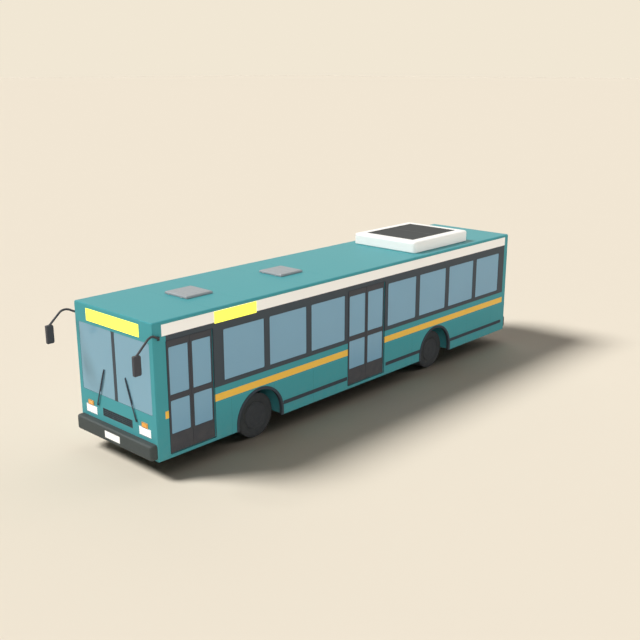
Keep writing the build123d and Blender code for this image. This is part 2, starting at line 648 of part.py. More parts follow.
def cabin_windows():
    rear = BODY_LENGTH - GLASS_INSET
    rear_sides = (-REAR_WINDOW_HALF_WIDTH, REAR_WINDOW_HALF_WIDTH)
    glass = block((rear - GLASS_THICKNESS, rear), rear_sides, REAR_WINDOW_HEIGHTS)
    for side in (1, -1):
        for pane in window_blocks(side, glass_sides(side)):
            glass += pane
    return glass


def windscreen():
    stations = (GLASS_INSET, GLASS_INSET + GLASS_THICKNESS)
    return on_both_sides(block(stations, (MULLION_WIDTH / 2, WINDSCREEN_HALF_WIDTH), WINDSCREEN_HEIGHTS))


def cantrail_stripes():
    sides = (HALF_WIDTH, HALF_WIDTH + PAINT_THICKNESS)
    stripe = block((SIDES_START, SIDES_END), sides, (CANTRAIL_BOTTOM, CANTRAIL_TOP))
    return on_both_sides(stripe) - block(SIDE_SIGN, sides, SIDE_SIGN_HEIGHTS)


def belt_stripes():
    sides = (HALF_WIDTH, HALF_WIDTH + PAINT_THICKNESS)
    heights = (BELT_BOTTOM, BELT_TOP)
    stripes = on_both_sides(block((SIDES_START, SIDES_END), sides, heights))
    for opening in DOOR_OPENINGS.values():
        stripes -= block(opening, sides, heights)
    return stripes


def side_mouldings():
    """Wheel arch trims with the rub rails that run between them."""
    sides = (HALF_WIDTH, HALF_WIDTH + ARCH_TRIM_PROUD)
    heights = (RUB_RAIL_BOTTOM, RUB_RAIL_BOTTOM + RUB_RAIL_HEIGHT)
    cut = through_wall(1, ARCH_TRIM_PROUD)
    trims = Part()
    for axle in AXLES:
        trim = arch(axle, ARCH_RADIUS, sides, SKIRT_BOTTOM)
        trim += arch(axle, ARCH_OPENING, (INNER_HALF_WIDTH, HALF_WIDTH), SKIRT_BOTTOM)
        trims += trim - arch(axle, ARCH_INNER, cut, SKIRT_BOTTOM)
    tail = block((REAR_AXLE + ARCH_RADIUS, SIDES_END - RUB_RAIL_REAR_MARGIN), sides, heights)
    between = block((FRONT_AXLE + ARCH_RADIUS, REAR_AXLE - ARCH_RADIUS), sides, heights)
    gap = (MIDDLE_DOOR_START - RUB_RAIL_BEFORE_DOOR, MIDDLE_DOOR_END + RUB_RAIL_AFTER_DOOR)
    left = trims + tail + (between - block(gap, sides, heights))
    right = mirror(trims + tail + between, Plane.XZ)
    return left + right


def wheel_housings():
    """Boxes over the wheels, open below and towards the side walls."""
    inner_wall = HOUSING_INNER_SIDE - HOUSING_THICKNESS
    hollow = (HOUSING_INNER_SIDE, INNER_HALF_WIDTH + CUT_MARGIN)
    housings = Part()
    for axle in AXLES:
        outer = arch(axle, HOUSING_RADIUS, (inner_wall, INNER_HALF_WIDTH), LOW_FLOOR_BOTTOM)
        housings += outer - arch(axle, ARCH_OPENING, hollow, LOW_FLOOR_BOTTOM)
    reach = AXLE_TUBE_RADIUS + AXLE_NOTCH_GAP
    notch_heights = (LOW_FLOOR_BOTTOM, TYRE_RADIUS + reach)
    notch = block((REAR_AXLE - reach, REAR_AXLE + reach), (inner_wall, HOUSING_INNER_SIDE), notch_heights)
    return on_both_sides(housings - notch)


# ---------------------------------------------------------------- floor, frame and engine
def floor():
    """Low floor, step, raised floor and engine cover in one."""
    width = (-INNER_HALF_WIDTH, INNER_HALF_WIDTH)
    riser = FLOOR_THICKNESS
    step_start = RAISED_FLOOR_START - STEP_LENGTH
    step_top = (FLOOR_TOP + RAISED_FLOOR_TOP) / 2
    riser_end = RAISED_FLOOR_START + riser
    cover_riser = (ENGINE_COVER_START, ENGINE_COVER_START + riser)
    shape = block((END_THICKNESS, RAISED_FLOOR_START), width, (LOW_FLOOR_BOTTOM, FLOOR_TOP))
    shape += block((step_start, RAISED_FLOOR_START), width, (FLOOR_TOP, step_top))
    shape += block((RAISED_FLOOR_START, riser_end), width, (LOW_FLOOR_BOTTOM, RAISED_FLOOR_TOP))
    raised = (RAISED_FLOOR_BOTTOM, RAISED_FLOOR_TOP)
    shape += block((RAISED_FLOOR_START, ENGINE_COVER_START), width, raised)
    shape += block(cover_riser, width, (RAISED_FLOOR_BOTTOM, ENGINE_COVER_TOP))
    cover = (ENGINE_COVER_TOP - FLOOR_THICKNESS, ENGINE_COVER_TOP)
    return shape + block((ENGINE_COVER_START, REAR_WALL), width, cover)


def cross_members(start, end, pitch, heights):
    members = Part()
    for i in range(int((end - start) / pitch) + 1):
        station = start + i * pitch
        members += block((station, station + CROSS_MEMBER_LENGTH), (-RAIL_SIDE, RAIL_SIDE), heights)
    return members


def underframe():
    """Stepped floor welded to two longitudinal rails with cross members and jacking pads."""
    sides = (RAIL_INNER, RAIL_OUTER)
    low = (LOW_RAIL_BOTTOM, LOW_FLOOR_BOTTOM)
    high = (HIGH_RAIL_BOTTOM, RAISED_FLOOR_BOTTOM)
    upright = (RAISED_FLOOR_START, RAISED_FLOOR_START + FLOOR_THICKNESS)
    rails = block((END_THICKNESS, upright[1]), sides, low)
    rails += block(upright, sides, (LOW_FLOOR_BOTTOM, RAISED_FLOOR_BOTTOM))
    rails += block((RAISED_FLOOR_START, REAR_WALL), sides, high)
    for station, rail_bottom in JACK_POINTS.values():
        reach = JACK_PAD_LENGTH / 2
        heights = (rail_bottom - JACK_PAD_THICKNESS, rail_bottom)
        rails += block((station - reach, station + reach), sides, heights)
    frame = floor() + on_both_sides(rails)
    frame += cross_members(LOW_CROSS_MEMBER_START, RAISED_FLOOR_START - CROSS_MEMBER_LENGTH,
                           LOW_CROSS_MEMBER_PITCH, low)
    frame += cross_members(RAISED_FLOOR_START + HIGH_CROSS_MEMBER_LEAD, ENGINE_START,
                           HIGH_CROSS_MEMBER_PITCH, high)
    well_sides = (HOUSING_INNER_SIDE - HOUSING_THICKNESS, INNER_HALF_WIDTH + CUT_MARGIN)
    for axle in AXLES:
        frame -= on_both_sides(arch(axle, HOUSING_RADIUS, well_sides, 0))
    return frame


def engine():
    heights = (ENGINE_TOP - ENGINE_HEIGHT, ENGINE_TOP)
    body = block((ENGINE_START, ENGINE_END), (-RAIL_INNER, RAIL_INNER), heights)
    return fillet(body.edges().filter_by(Axis.Y), ENGINE_EDGE)


def front_axle():
    """Dropped beam under the rails, its two horns and the kingpin eyes at their ends."""
    half_eye = EYE_HEIGHT / 2
    beam_top = LOW_RAIL_BOTTOM - BEAM_DROP
    beam_bottom = beam_top - BEAM_HEIGHT
    horn_end = HOUSING_INNER_SIDE + BEAM_HORN_WIDTH
    stations = (FRONT_AXLE - EYE_RADIUS, FRONT_AXLE + EYE_RADIUS)
    pad_stations = (FRONT_AXLE - BEAM_PAD_LENGTH / 2, FRONT_AXLE + BEAM_PAD_LENGTH / 2)
    beam = block(stations, (-horn_end, horn_end), (beam_bottom, beam_top))
    horn = block(stations, (HOUSING_INNER_SIDE, horn_end), (beam_bottom, TYRE_RADIUS + half_eye))
    reach = block(stations, (HOUSING_INNER_SIDE, KINGPIN_SIDE),
                  (TYRE_RADIUS - half_eye, TYRE_RADIUS + half_eye))
    place = Pos(at(FRONT_AXLE), KINGPIN_SIDE, TYRE_RADIUS)
    eye = place * Cylinder(EYE_RADIUS, EYE_HEIGHT)
    hole = place * Cylinder(KINGPIN_RADIUS + PIN_FIT, EYE_HEIGHT)
    pad = block(pad_stations, (RAIL_INNER, RAIL_OUTER), (beam_top - BEAM_DROP, LOW_RAIL_BOTTOM))
    return beam + on_both_sides(horn + reach + eye - hole) + on_both_sides(pad)


def rear_axle():
    """Axle tube with its round case, the spindles for the twin wheels and the air springs."""
    middle = Pos(at(REAR_AXLE), 0, TYRE_RADIUS)
    tube_end = INNER_TWIN_SIDE - RIM_WIDTH / 2 - AXLE_TUBE_HUB_GAP
    spindle_end = TWIN_MIDDLE + TWIN_HUB_INNER_END
    tube = middle * across(AXLE_TUBE_RADIUS, 2 * tube_end)
    spindle = middle * across(SPINDLE_RADIUS, 2 * spindle_end)
    case = middle * Sphere(AXLE_CASE_RADIUS)
    case &= block((REAR_AXLE - AXLE_CASE_FRONT, REAR_AXLE + AXLE_CASE_RADIUS),
                  (-AXLE_CASE_RADIUS, AXLE_CASE_RADIUS),
                  (TYRE_RADIUS - AXLE_CASE_BELOW, TYRE_RADIUS + AXLE_CASE_ABOVE))
    spring = Pos(at(REAR_AXLE), RAIL_SIDE, (TYRE_RADIUS + HIGH_RAIL_BOTTOM) / 2)
    spring *= Cylinder(AIR_SPRING_RADIUS, HIGH_RAIL_BOTTOM - TYRE_RADIUS)
    return tube + spindle + case + on_both_sides(spring)


# ---------------------------------------------------------------- wheels
def tyre_ring(side, axle):
    section = Rectangle(TYRE_RADIUS - RIM_RADIUS, TYRE_WIDTH)
    profile = Pos((TYRE_RADIUS + RIM_RADIUS) / 2, 0) * section
    profile = fillet(profile.vertices().group_by(Axis.X)[-1], TYRE_SHOULDER)
    profile = chamfer(profile.vertices().group_by(Axis.X)[0], (TYRE_WIDTH - RIM_WIDTH) / 2)
    return Pos(at(axle), side, TYRE_RADIUS) * revolve(profile, Axis.Y)


def turned(points, side, axle):
    """Solid of revolution about the axle from (radius, side offset) points."""
    profile = make_face(Polyline(*points, close=True))
    return Pos(at(axle), side, TYRE_RADIUS) * revolve(profile, Axis.Y)


def hand_holes(side, axle, circle, length):
    """Ring of round holes through a wheel's disc."""
    holes = Part()
    for i in range(HAND_HOLE_COUNT):
        place = Pos(at(axle), side, TYRE_RADIUS) * Rot(0, 360 * i / HAND_HOLE_COUNT, 0)
        holes += place * Pos(circle, 0, 0) * across(HAND_HOLE_RADIUS, length)
    return holes


def front_rim():
    half = RIM_WIDTH / 2
    inner = RIM_RADIUS - RIM_WALL
    foot = inner - RIM_FLARE
    bore = SPINDLE_RADIUS + PIN_FIT
    cap = HUB_RADIUS - HUB_CAP_INSET
    flange = HUB_RADIUS + HUB_FLANGE_REACH
    hub_inner = KNUCKLE_WEB_END + HUB_CLEARANCE - KINGPIN_OFFSET
    bore_end = FRONT_HUB_END - HUB_END_WALL
    cap_edge = FRONT_HUB_END - HUB_CAP_STEP
    disc_inner = FRONT_DISC_OUTER - FRONT_DISC_THICKNESS
    foot_rise = FRONT_DISC_THICKNESS - RIM_FLARE
    points = [
        (RIM_RADIUS, -half), (RIM_RADIUS, half), (inner, half),
        (foot, FRONT_DISC_OUTER + foot_rise), (FRONT_DISC_RADIUS, FRONT_DISC_OUTER),
        (flange, FRONT_DISC_OUTER), (HUB_RADIUS, cap_edge), (cap, FRONT_HUB_END),
        (0, FRONT_HUB_END), (0, bore_end), (bore, bore_end), (bore, hub_inner),
        (HUB_RADIUS, hub_inner), (HUB_RADIUS, disc_inner), (FRONT_DISC_RADIUS, disc_inner),
        (foot, disc_inner + foot_rise), (inner, -half),
    ]
    rim = turned(points, WHEEL_SIDE, FRONT_AXLE)
    return rim - hand_holes(WHEEL_SIDE + FRONT_DISC_OUTER, FRONT_AXLE, HAND_HOLE_CIRCLE, RIM_WIDTH / 2)


def rear_rims():
    """Both rims of a twin wheel with the hub that they bolt to."""
    half = RIM_WIDTH / 2
    inner = RIM_RADIUS - RIM_WALL
    bore = SPINDLE_RADIUS + PIN_FIT
    cap = HUB_RADIUS - HUB_CAP_INSET
    reach = TWIN_SPACING / 2
    outer = reach + half
    gap = reach - half
    web = TWIN_DISC_HALF
    taper = gap + TWIN_DISC_TAPER
    cap_edge = TWIN_HUB_END - HUB_CAP_STEP
    bore_end = TWIN_HUB_END - HUB_END_WALL
    apex = TWIN_DISC_RADIUS + HUB_CAP_STEP
    points = [
        (RIM_RADIUS, gap), (RIM_RADIUS, outer), (inner, outer), (inner, taper),
        (TWIN_DISC_RADIUS, web), (HUB_RADIUS, web), (HUB_RADIUS, cap_edge), (cap, TWIN_HUB_END),
        (0, TWIN_HUB_END), (0, bore_end), (bore, bore_end), (bore, -TWIN_HUB_INNER_END),
        (HUB_RADIUS, -TWIN_HUB_INNER_END), (HUB_RADIUS, -web), (TWIN_DISC_RADIUS, -web),
        (inner, -taper), (inner, -outer), (RIM_RADIUS, -outer), (RIM_RADIUS, -gap),
        (inner + RIM_FLARE, -gap), (apex, 0), (inner + RIM_FLARE, gap),
    ]
    rims = turned(points, TWIN_MIDDLE, REAR_AXLE)
    circle = (HUB_RADIUS + TWIN_DISC_RADIUS) / 2
    return rims - hand_holes(TWIN_MIDDLE, REAR_AXLE, circle, 2 * TWIN_DISC_TAPER)


def knuckle():
    """Steering knuckle: a fork round the axle eye, its kingpin and the wheel spindle."""
    centre = Pos(at(FRONT_AXLE), KINGPIN_SIDE, TYRE_RADIUS)
    half_fork = EYE_HEIGHT / 2 + FORK_GAP + FORK_THICKNESS
    pin = centre * Cylinder(KINGPIN_RADIUS, 2 * half_fork - FORK_THICKNESS)
    fork = Part()
    for sign in (1, -1):
        middle = sign * (half_fork - FORK_THICKNESS / 2)
        arm = Box(2 * EYE_RADIUS, KNUCKLE_WEB_END, FORK_THICKNESS)
        fork += centre * Pos(0, 0, middle) * Cylinder(EYE_RADIUS, FORK_THICKNESS)
        fork += centre * Pos(0, KNUCKLE_WEB_END / 2, middle) * arm
    web_middle = KNUCKLE_WEB_END - KNUCKLE_WEB_THICKNESS / 2
    web = centre * Pos(0, web_middle, 0) * Box(2 * EYE_RADIUS, KNUCKLE_WEB_THICKNESS, 2 * half_fork)
    spindle_end = KINGPIN_OFFSET + FRONT_HUB_END - HUB_END_WALL - HUB_CLEARANCE
    spindle = centre * Pos(0, (web_middle + spindle_end) / 2, 0)
    spindle *= across(SPINDLE_RADIUS, spindle_end - web_middle)
    return pin + fork + web + spindle


# ---------------------------------------------------------------- doors
def door_leaves():
    """Name, pivot station, free edge station of each leaf; the pivot is a post by the jamb."""
    leaves = []
    post = DOOR_THICKNESS / 2
    half_gap = DOOR_MEETING_GAP / 2
    for door, (start, end) in DOOR_OPENINGS.items():
        middle = (start + end) / 2
        leaves.append((f"{door}_door_front_leaf", start + DOOR_GAP + post, middle - half_gap))
        leaves.append((f"{door}_door_rear_leaf", end - DOOR_GAP - post, middle + half_gap))
    return leaves


def door_pivots():
    return [pivot for _, pivot, _ in door_leaves()]


def door_pin(pivot, radius, length):
    """Pins above and below a leaf's post, reaching past both ends of the opening."""
    total = DOOR_TOP - DOOR_BOTTOM + 2 * (length - DOOR_END_CLEARANCE)
    middle = (DOOR_TOP + DOOR_BOTTOM) / 2
    return Pos(at(pivot), DOOR_AXIS_SIDE, middle) * Cylinder(radius, total)


def door_glass_stations(pivot, free_edge):
    direction = 1 if free_edge > pivot else -1
    post_edge = pivot - direction * DOOR_THICKNESS / 2
    return (post_edge + direction * DOOR_STILE, free_edge - direction * DOOR_MEETING_STILE)


def door_leaf(pivot, free_edge):
    heights = (DOOR_BOTTOM + DOOR_END_CLEARANCE, DOOR_TOP - DOOR_END_CLEARANCE)
    sides = (DOOR_OUTER - DOOR_THICKNESS, DOOR_OUTER)
    post = Cylinder(DOOR_THICKNESS / 2, heights[1] - heights[0])
    leaf = block((pivot, free_edge), sides, heights)
    leaf += Pos(at(pivot), DOOR_AXIS_SIDE, sum(heights) / 2) * post
    leaf += door_pin(pivot, DOOR_PIN_RADIUS, DOOR_PIN_LENGTH)
    for glass in (DOOR_LOWER_GLASS, DOOR_UPPER_GLASS):
        leaf -= block(door_glass_stations(pivot, free_edge), sides, glass)
    return leaf


def door_glass(pivot, free_edge):
    outer = DOOR_OUTER - GLASS_INSET
    sides = (outer - GLASS_THICKNESS, outer)
    stations = door_glass_stations(pivot, free_edge)
    return block(stations, sides, DOOR_LOWER_GLASS) + block(stations, sides, DOOR_UPPER_GLASS)


# ---------------------------------------------------------------- roof hatches and engine door
def hatch_hinge(station):
    """Station and height of a hatch's hinge line, just ahead of its front edge."""
    return (station - HATCH_LENGTH / 2 - HINGE_RADIUS - HINGE_AHEAD, ROOF_TOP + HINGE_RADIUS + HINGE_RISE)


def hatch_lid(station):
    bottom = ROOF_TOP + HATCH_LIFT
    half = HATCH_LENGTH / 2
    sides = (-HATCH_WIDTH / 2, HATCH_WIDTH / 2)
    lid = block((station - half, station + half), sides, (bottom, bottom + HATCH_THICKNESS))
    lid = chamfer(lid.edges().group_by(Axis.Z)[-1], HATCH_BEVEL)
    hinge_station, z = hatch_hinge(station)
    x = at(hinge_station)
    for offset in (-HINGE_LUG_OFFSET, HINGE_LUG_OFFSET):
        tongue = Box(HINGE_TONGUE_LENGTH, HINGE_LUG_WIDTH, HINGE_TONGUE_THICKNESS)
        lid += Pos(x, offset, z) * across(HINGE_RADIUS, HINGE_LUG_WIDTH)
        lid += Pos(x - HINGE_TONGUE_LENGTH / 2, offset, z) * tongue
        lid -= Pos(x, offset, z) * across(HINGE_PIN_RADIUS + PIN_FIT, HINGE_LUG_WIDTH)
    return lid


def hatch_brackets(station):
    """Cheeks on the roof each side of the lid's barrels, with the pins between them."""
    hinge_station, z = hatch_hinge(station)
    x = at(hinge_station)
    height = z + HINGE_CHEEK_HALF - ROOF_TOP
    brackets = Part()
    for offset in (-HINGE_LUG_OFFSET, HINGE_LUG_OFFSET):
        for sign in (1, -1):
            place = Pos(x, offset + sign * HINGE_CHEEK_SIDE, ROOF_TOP + height / 2)
            brackets += place * Box(2 * HINGE_CHEEK_HALF, HINGE_CHEEK_WIDTH, height)
        brackets += Pos(x, offset, z) * across(HINGE_PIN_RADIUS, HINGE_PIN_LENGTH)
    return brackets


def engine_hinge():
    """Station and height of the engine door's hinge line."""
    return (BODY_LENGTH + ENGINE_HINGE_PROUD, ENGINE_DOOR_TOP + ENGINE_HINGE_RISE)


def engine_hinge_offsets():
    quarter = (ENGINE_DOOR_HALF_WIDTH - ENGINE_DOOR_GAP) / 2
    return (-quarter, quarter)


def engine_door():
    """Lift-up lid over the engine, hung from two barrels along its top edge."""
    half = ENGINE_DOOR_HALF_WIDTH - ENGINE_DOOR_GAP
    heights = (ENGINE_DOOR_BOTTOM + ENGINE_DOOR_GAP, ENGINE_DOOR_TOP - ENGINE_DOOR_GAP)
    door = block((BODY_LENGTH - ENGINE_DOOR_THICKNESS, BODY_LENGTH), (-half, half), heights)
    hinge_station, z = engine_hinge()
    foot_top = z - ENGINE_STRAP_LENGTH / 2
    for offset in engine_hinge_offsets():
        lug = (offset - HINGE_LUG_WIDTH / 2, offset + HINGE_LUG_WIDTH / 2)
        strap = (hinge_station - ENGINE_STRAP_THICKNESS / 2, hinge_station + ENGINE_STRAP_THICKNESS / 4)
        door += Pos(at(hinge_station), offset, z) * across(HINGE_RADIUS, HINGE_LUG_WIDTH)
        door += block(strap, lug, (z - ENGINE_STRAP_LENGTH, z))
        door += block((BODY_LENGTH, hinge_station), lug, (z - ENGINE_STRAP_LENGTH, foot_top))
        door -= Pos(at(hinge_station), offset, z) * across(HINGE_PIN_RADIUS + PIN_FIT, HINGE_LUG_WIDTH)
    return door


def engine_door_brackets():
    hinge_station, z = engine_hinge()
    heights = (z + ENGINE_LUG_RISE - ENGINE_LUG_HEIGHT / 2, z + ENGINE_LUG_RISE + ENGINE_LUG_HEIGHT / 2)
    stations = (BODY_LENGTH - HINGE_CHEEK_HALF, hinge_station + HINGE_CHEEK_HALF)
    brackets = Part()
    for offset in engine_hinge_offsets():
        for sign in (1, -1):
            middle = offset + sign * HINGE_CHEEK_SIDE
            sides = (middle - HINGE_CHEEK_WIDTH / 2, middle + HINGE_CHEEK_WIDTH / 2)
            brackets += block(stations, sides, heights)
        brackets += Pos(at(hinge_station), offset, z) * across(HINGE_PIN_RADIUS, HINGE_PIN_LENGTH)
    return brackets


# ---------------------------------------------------------------- bumpers, lamps, signs and plates
def bumper(depth):
    """Bar with rounded ends and edges, standing forward from X = 0."""
    bar = Pos(depth / 2, 0, (BUMPER_BOTTOM + BUMPER_TOP) / 2)
    bar *= Box(depth, 2 * BUMPER_HALF_WIDTH, BUMPER_HEIGHT)
    bar = fillet(bar.edges().filter_by(Axis.Z).group_by(Axis.X)[-1], BUMPER_CORNER)
    rims = bar.edges().group_by(Axis.Z)[-1] + bar.edges().group_by(Axis.Z)[0]
    return fillet(rims.filter_by(lambda edge: edge.center().X > CUT_MARGIN), BUMPER_EDGE)


def front_bumper():
    return Pos(at(0), 0, 0) * bumper(FRONT_BUMPER_DEPTH)


def rear_bumper():
    bar = Pos(at(BODY_LENGTH), 0, 0) * Rot(0, 0, 180) * bumper(REAR_BUMPER_DEPTH)
    x = at(BODY_LENGTH + REAR_BUMPER_DEPTH - TOW_SOCKET_DEPTH / 2)
    socket = Pos(x, TOW_SOCKET_SIDE, PLATE_CENTRE) * Rot(0, 90, 0)
    return bar - socket * Cylinder(TOW_SOCKET_RADIUS, TOW_SOCKET_DEPTH)


def number_plates():
    sides = (-PLATE_WIDTH / 2, PLATE_WIDTH / 2)
    heights = (PLATE_CENTRE - PLATE_HEIGHT / 2, PLATE_CENTRE + PLATE_HEIGHT / 2)
    front = block((-FRONT_BUMPER_DEPTH - PLATE_PROUD, -FRONT_BUMPER_DEPTH), sides, heights)
    rear_face = BODY_LENGTH + REAR_BUMPER_DEPTH
    return front + block((rear_face, rear_face + PLATE_PROUD), sides, heights)


def destination_signs():
    side_sign_sides = (HALF_WIDTH - SIGN_DEPTH, HALF_WIDTH + SIDE_SIGN_PROUD)
    rear_stations = (BODY_LENGTH - SIGN_DEPTH, BODY_LENGTH + SIGN_PROUD)
    signs = block((-SIGN_PROUD, SIGN_DEPTH), FRONT_SIGN_SIDES, SIGN_HEIGHTS)
    signs += block(SIDE_SIGN, side_sign_sides, SIDE_SIGN_HEIGHTS)
    return signs + block(rear_stations, REAR_SIGN_SIDES, SIGN_HEIGHTS)


def headlamps():
    heights = (HEADLAMP_BOTTOM, HEADLAMP_TOP)
    return on_both_sides(block((-HEADLAMP_PROUD, LAMP_DEPTH), (HEADLAMP_INNER, HEADLAMP_OUTER), heights))


def turn_indicators():
    sides = (INDICATOR_INNER, INDICATOR_INNER + INDICATOR_WIDTH)
    front_heights = (INDICATOR_BOTTOM, INDICATOR_BOTTOM + INDICATOR_HEIGHT)
    rear_heights = (REAR_INDICATOR_BOTTOM, REAR_INDICATOR_BOTTOM + REAR_INDICATOR_HEIGHT)
    front = block((-INDICATOR_PROUD, 0), sides, front_heights)
    rear = block((BODY_LENGTH, BODY_LENGTH + INDICATOR_PROUD), TAIL_LAMP_SIDES, rear_heights)
    return on_both_sides(front + rear)


def tail_lamps():
    stations = (BODY_LENGTH - LAMP_DEPTH, BODY_LENGTH + HEADLAMP_PROUD)
    return on_both_sides(block(stations, TAIL_LAMP_SIDES, (TAIL_LAMP_BOTTOM, TAIL_LAMP_TOP)))


def grille():
    """Frame with slots between its slats, closed at the back."""
    half = GRILLE_HALF_WIDTH
    frame = block((0, GRILLE_DEPTH), (-half, half), (GRILLE_BOTTOM, GRILLE_TOP))
    pitch = (GRILLE_HEIGHT - GRILLE_RIM) / (GRILLE_SLATS + 1)
    slot_sides = (GRILLE_RIM - half, half - GRILLE_RIM)
    for i in range(GRILLE_SLATS + 1):
        bottom = GRILLE_BOTTOM + GRILLE_RIM + i * pitch
        slot_heights = (bottom, bottom + pitch - GRILLE_RIM)
        frame -= block((0, GRILLE_DEPTH - GRILLE_BACK), slot_sides, slot_heights)
    return frame


# ---------------------------------------------------------------- wipers and mirrors
def wiper():
    """Left wiper: an arm from its pivot on the front panel with a blade along its outer part."""
    foot = Vector(at(-WIPER_STANDOFF), WIPER_FOOT_SIDE, WIPER_FOOT_HEIGHT)
    tip = Vector(at(-WIPER_STANDOFF), WIPER_TIP_SIDE, WIPER_TIP_HEIGHT)
    along = (tip - foot).normalized()
    length = (tip - foot).length
    lean = along.get_signed_angle(Vector(0, 0, 1), Vector(1, 0, 0))
    place = Pos(foot) * Rot(-lean, 0, 0)
    arm = place * Pos(0, 0, length / 2) * Box(WIPER_SECTION, WIPER_SECTION, length)
    blade = place * Pos(0, 0, length - WIPER_BLADE_LENGTH / 2)
    blade *= Box(WIPER_SECTION, 2 * WIPER_SECTION, WIPER_BLADE_LENGTH)
    hub_end = WIPER_STANDOFF + WIPER_SECTION / 2
    hub = Pos(at(-(hub_end + WIPER_PIVOT_CLEARANCE) / 2), foot.Y, foot.Z) * Rot(0, 90, 0)
    hub *= Cylinder(WIPER_PIVOT_RADIUS, hub_end - WIPER_PIVOT_CLEARANCE)
    return arm + blade + hub


def mirror_hinge():
    """Place of the left mirror's upright hinge line beside the front panel."""
    return Pos(at(MIRROR_FOOT_STATION), MIRROR_FOOT_SIDE, MIRROR_FOOT_HEIGHT)


def mirror_bracket():
    """Two plates on the body side and the pin between them."""
    middle = (MIRROR_BARREL_HEIGHT + MIRROR_PLATE) / 2 + MIRROR_PLATE_GAP
    bracket = mirror_hinge() * Cylinder(MIRROR_PIN_RADIUS, 2 * middle + MIRROR_PLATE)
    for height in (middle, -middle):
        foot = Box(2 * MIRROR_BARREL_RADIUS, MIRROR_HINGE_OUT, MIRROR_PLATE)
        bracket += mirror_hinge() * Pos(0, 0, height) * Cylinder(MIRROR_BARREL_RADIUS, MIRROR_PLATE)
        bracket += mirror_hinge() * Pos(0, -MIRROR_HINGE_OUT / 2, height) * foot
    return bracket


def exterior_mirror():
    """Left mirror: a barrel on the upright pin, a bent tube arm and the head at its end."""
    start = Vector(at(MIRROR_FOOT_STATION), MIRROR_FOOT_SIDE, MIRROR_FOOT_HEIGHT)
    elbow = Vector(at(-MIRROR_ELBOW_AHEAD), HALF_WIDTH + MIRROR_ELBOW_OUT,
                   MIRROR_FOOT_HEIGHT + MIRROR_ELBOW_RISE)
    head_top = MIRROR_HEIGHT + MIRROR_HEAD_HEIGHT / 2
    end = Vector(at(-MIRROR_AHEAD), MIRROR_SIDE, head_top - MIRROR_HEAD_ROUND)
    path = FilletPolyline(start, elbow, end, radius=MIRROR_ELBOW_RADIUS)
    section = Plane(origin=start, z_dir=(elbow - start).normalized()) * Circle(MIRROR_ARM_RADIUS)
    arm = sweep(section, path=path)
    barrel = mirror_hinge() * Cylinder(MIRROR_BARREL_RADIUS, MIRROR_BARREL_HEIGHT)
    bore = mirror_hinge() * Cylinder(MIRROR_PIN_RADIUS + PIN_FIT, MIRROR_BARREL_HEIGHT)
    head = Pos(at(-MIRROR_AHEAD), MIRROR_SIDE, MIRROR_HEIGHT)
    head *= Box(MIRROR_HEAD_DEPTH, MIRROR_HEAD_WIDTH, MIRROR_HEAD_HEIGHT)
    head = fillet(head.edges(), MIRROR_HEAD_ROUND)
    return arm + barrel + head - bore


# ---------------------------------------------------------------- roof unit
def aircon_housing():
    heights = (ROOF_TOP, ROOF_TOP + AIRCON_HEIGHT)
    housing = block(AIRCON_STATIONS, (-AIRCON_HALF_WIDTH, AIRCON_HALF_WIDTH), heights)
    housing = fillet(housing.edges().filter_by(Axis.Z), AIRCON_ROUND)
    housing = fillet(housing.edges().group_by(Axis.Z)[-1], AIRCON_TOP_ROUND)
    housing = fillet(housing.edges().group_by(Axis.Z)[0], AIRCON_FOOT_ROUND)
    return housing - aircon_panel()


def aircon_panel():
    top = ROOF_TOP + AIRCON_HEIGHT
    half = AIRCON_HALF_WIDTH - AIRCON_PANEL_MARGIN
    stations = (AIRCON_STATIONS[0] + AIRCON_PANEL_MARGIN, AIRCON_STATIONS[1] - AIRCON_PANEL_MARGIN)
    return block(stations, (-half, half), (top - AIRCON_PANEL_DEPTH, top + AIRCON_PANEL_PROUD))


# ---------------------------------------------------------------- cabin
def seat(back_station, sides, floor_level, leg_side):
    """Seat facing forward on one leg."""
    top = floor_level + SEAT_CUSHION_TOP
    back_front = back_station - SEAT_BACK_THICKNESS
    front = back_front - SEAT_CUSHION
    under = top - SEAT_CUSHION_THICKNESS
    leg_station = (front + back_station) / 2
    shape = block((front, back_station), sides, (under, top))
    shape += block((back_front, back_station), sides, (top, top + SEAT_BACK_HEIGHT))
    shape = fillet(shape.edges().filter_by(Axis.Y).group_by(Axis.Z)[-1], SEAT_TOP_ROUND)
    leg_stations = (leg_station - SEAT_LEG, leg_station + SEAT_LEG)
    return shape + block(leg_stations, (leg_side, leg_side + SEAT_LEG), (floor_level, under))


def bench():
    """Rear bench across the engine cover."""
    back = REAR_WALL - BENCH_REAR_GAP
    half = INNER_HALF_WIDTH - BENCH_SIDE_GAP
    top = ENGINE_COVER_TOP + SEAT_CUSHION_THICKNESS
    front = back - SEAT_CUSHION - SEAT_BACK_THICKNESS
    shape = block((front, back), (-half, half), (ENGINE_COVER_TOP, top))
    return shape + block((back - SEAT_BACK_THICKNESS, back), (-half, half), (top, top + SEAT_BACK_HEIGHT))


def seats():
    group = bench()
    for station, level in SEAT_ROWS:
        row = seat(station, (SEAT_AISLE_SIDE, INNER_HALF_WIDTH), level, SEAT_AISLE_SIDE + SEAT_LEG)
        group += on_both_sides(row)
    half = DRIVER_SEAT_WIDTH / 2
    sides = (-DRIVER_SIDE - half, -DRIVER_SIDE + half)
    back = PLATFORM_END - DRIVER_SEAT_GAP
    return group + seat(back, sides, PLATFORM_TOP, -DRIVER_SIDE - SEAT_LEG / 2)


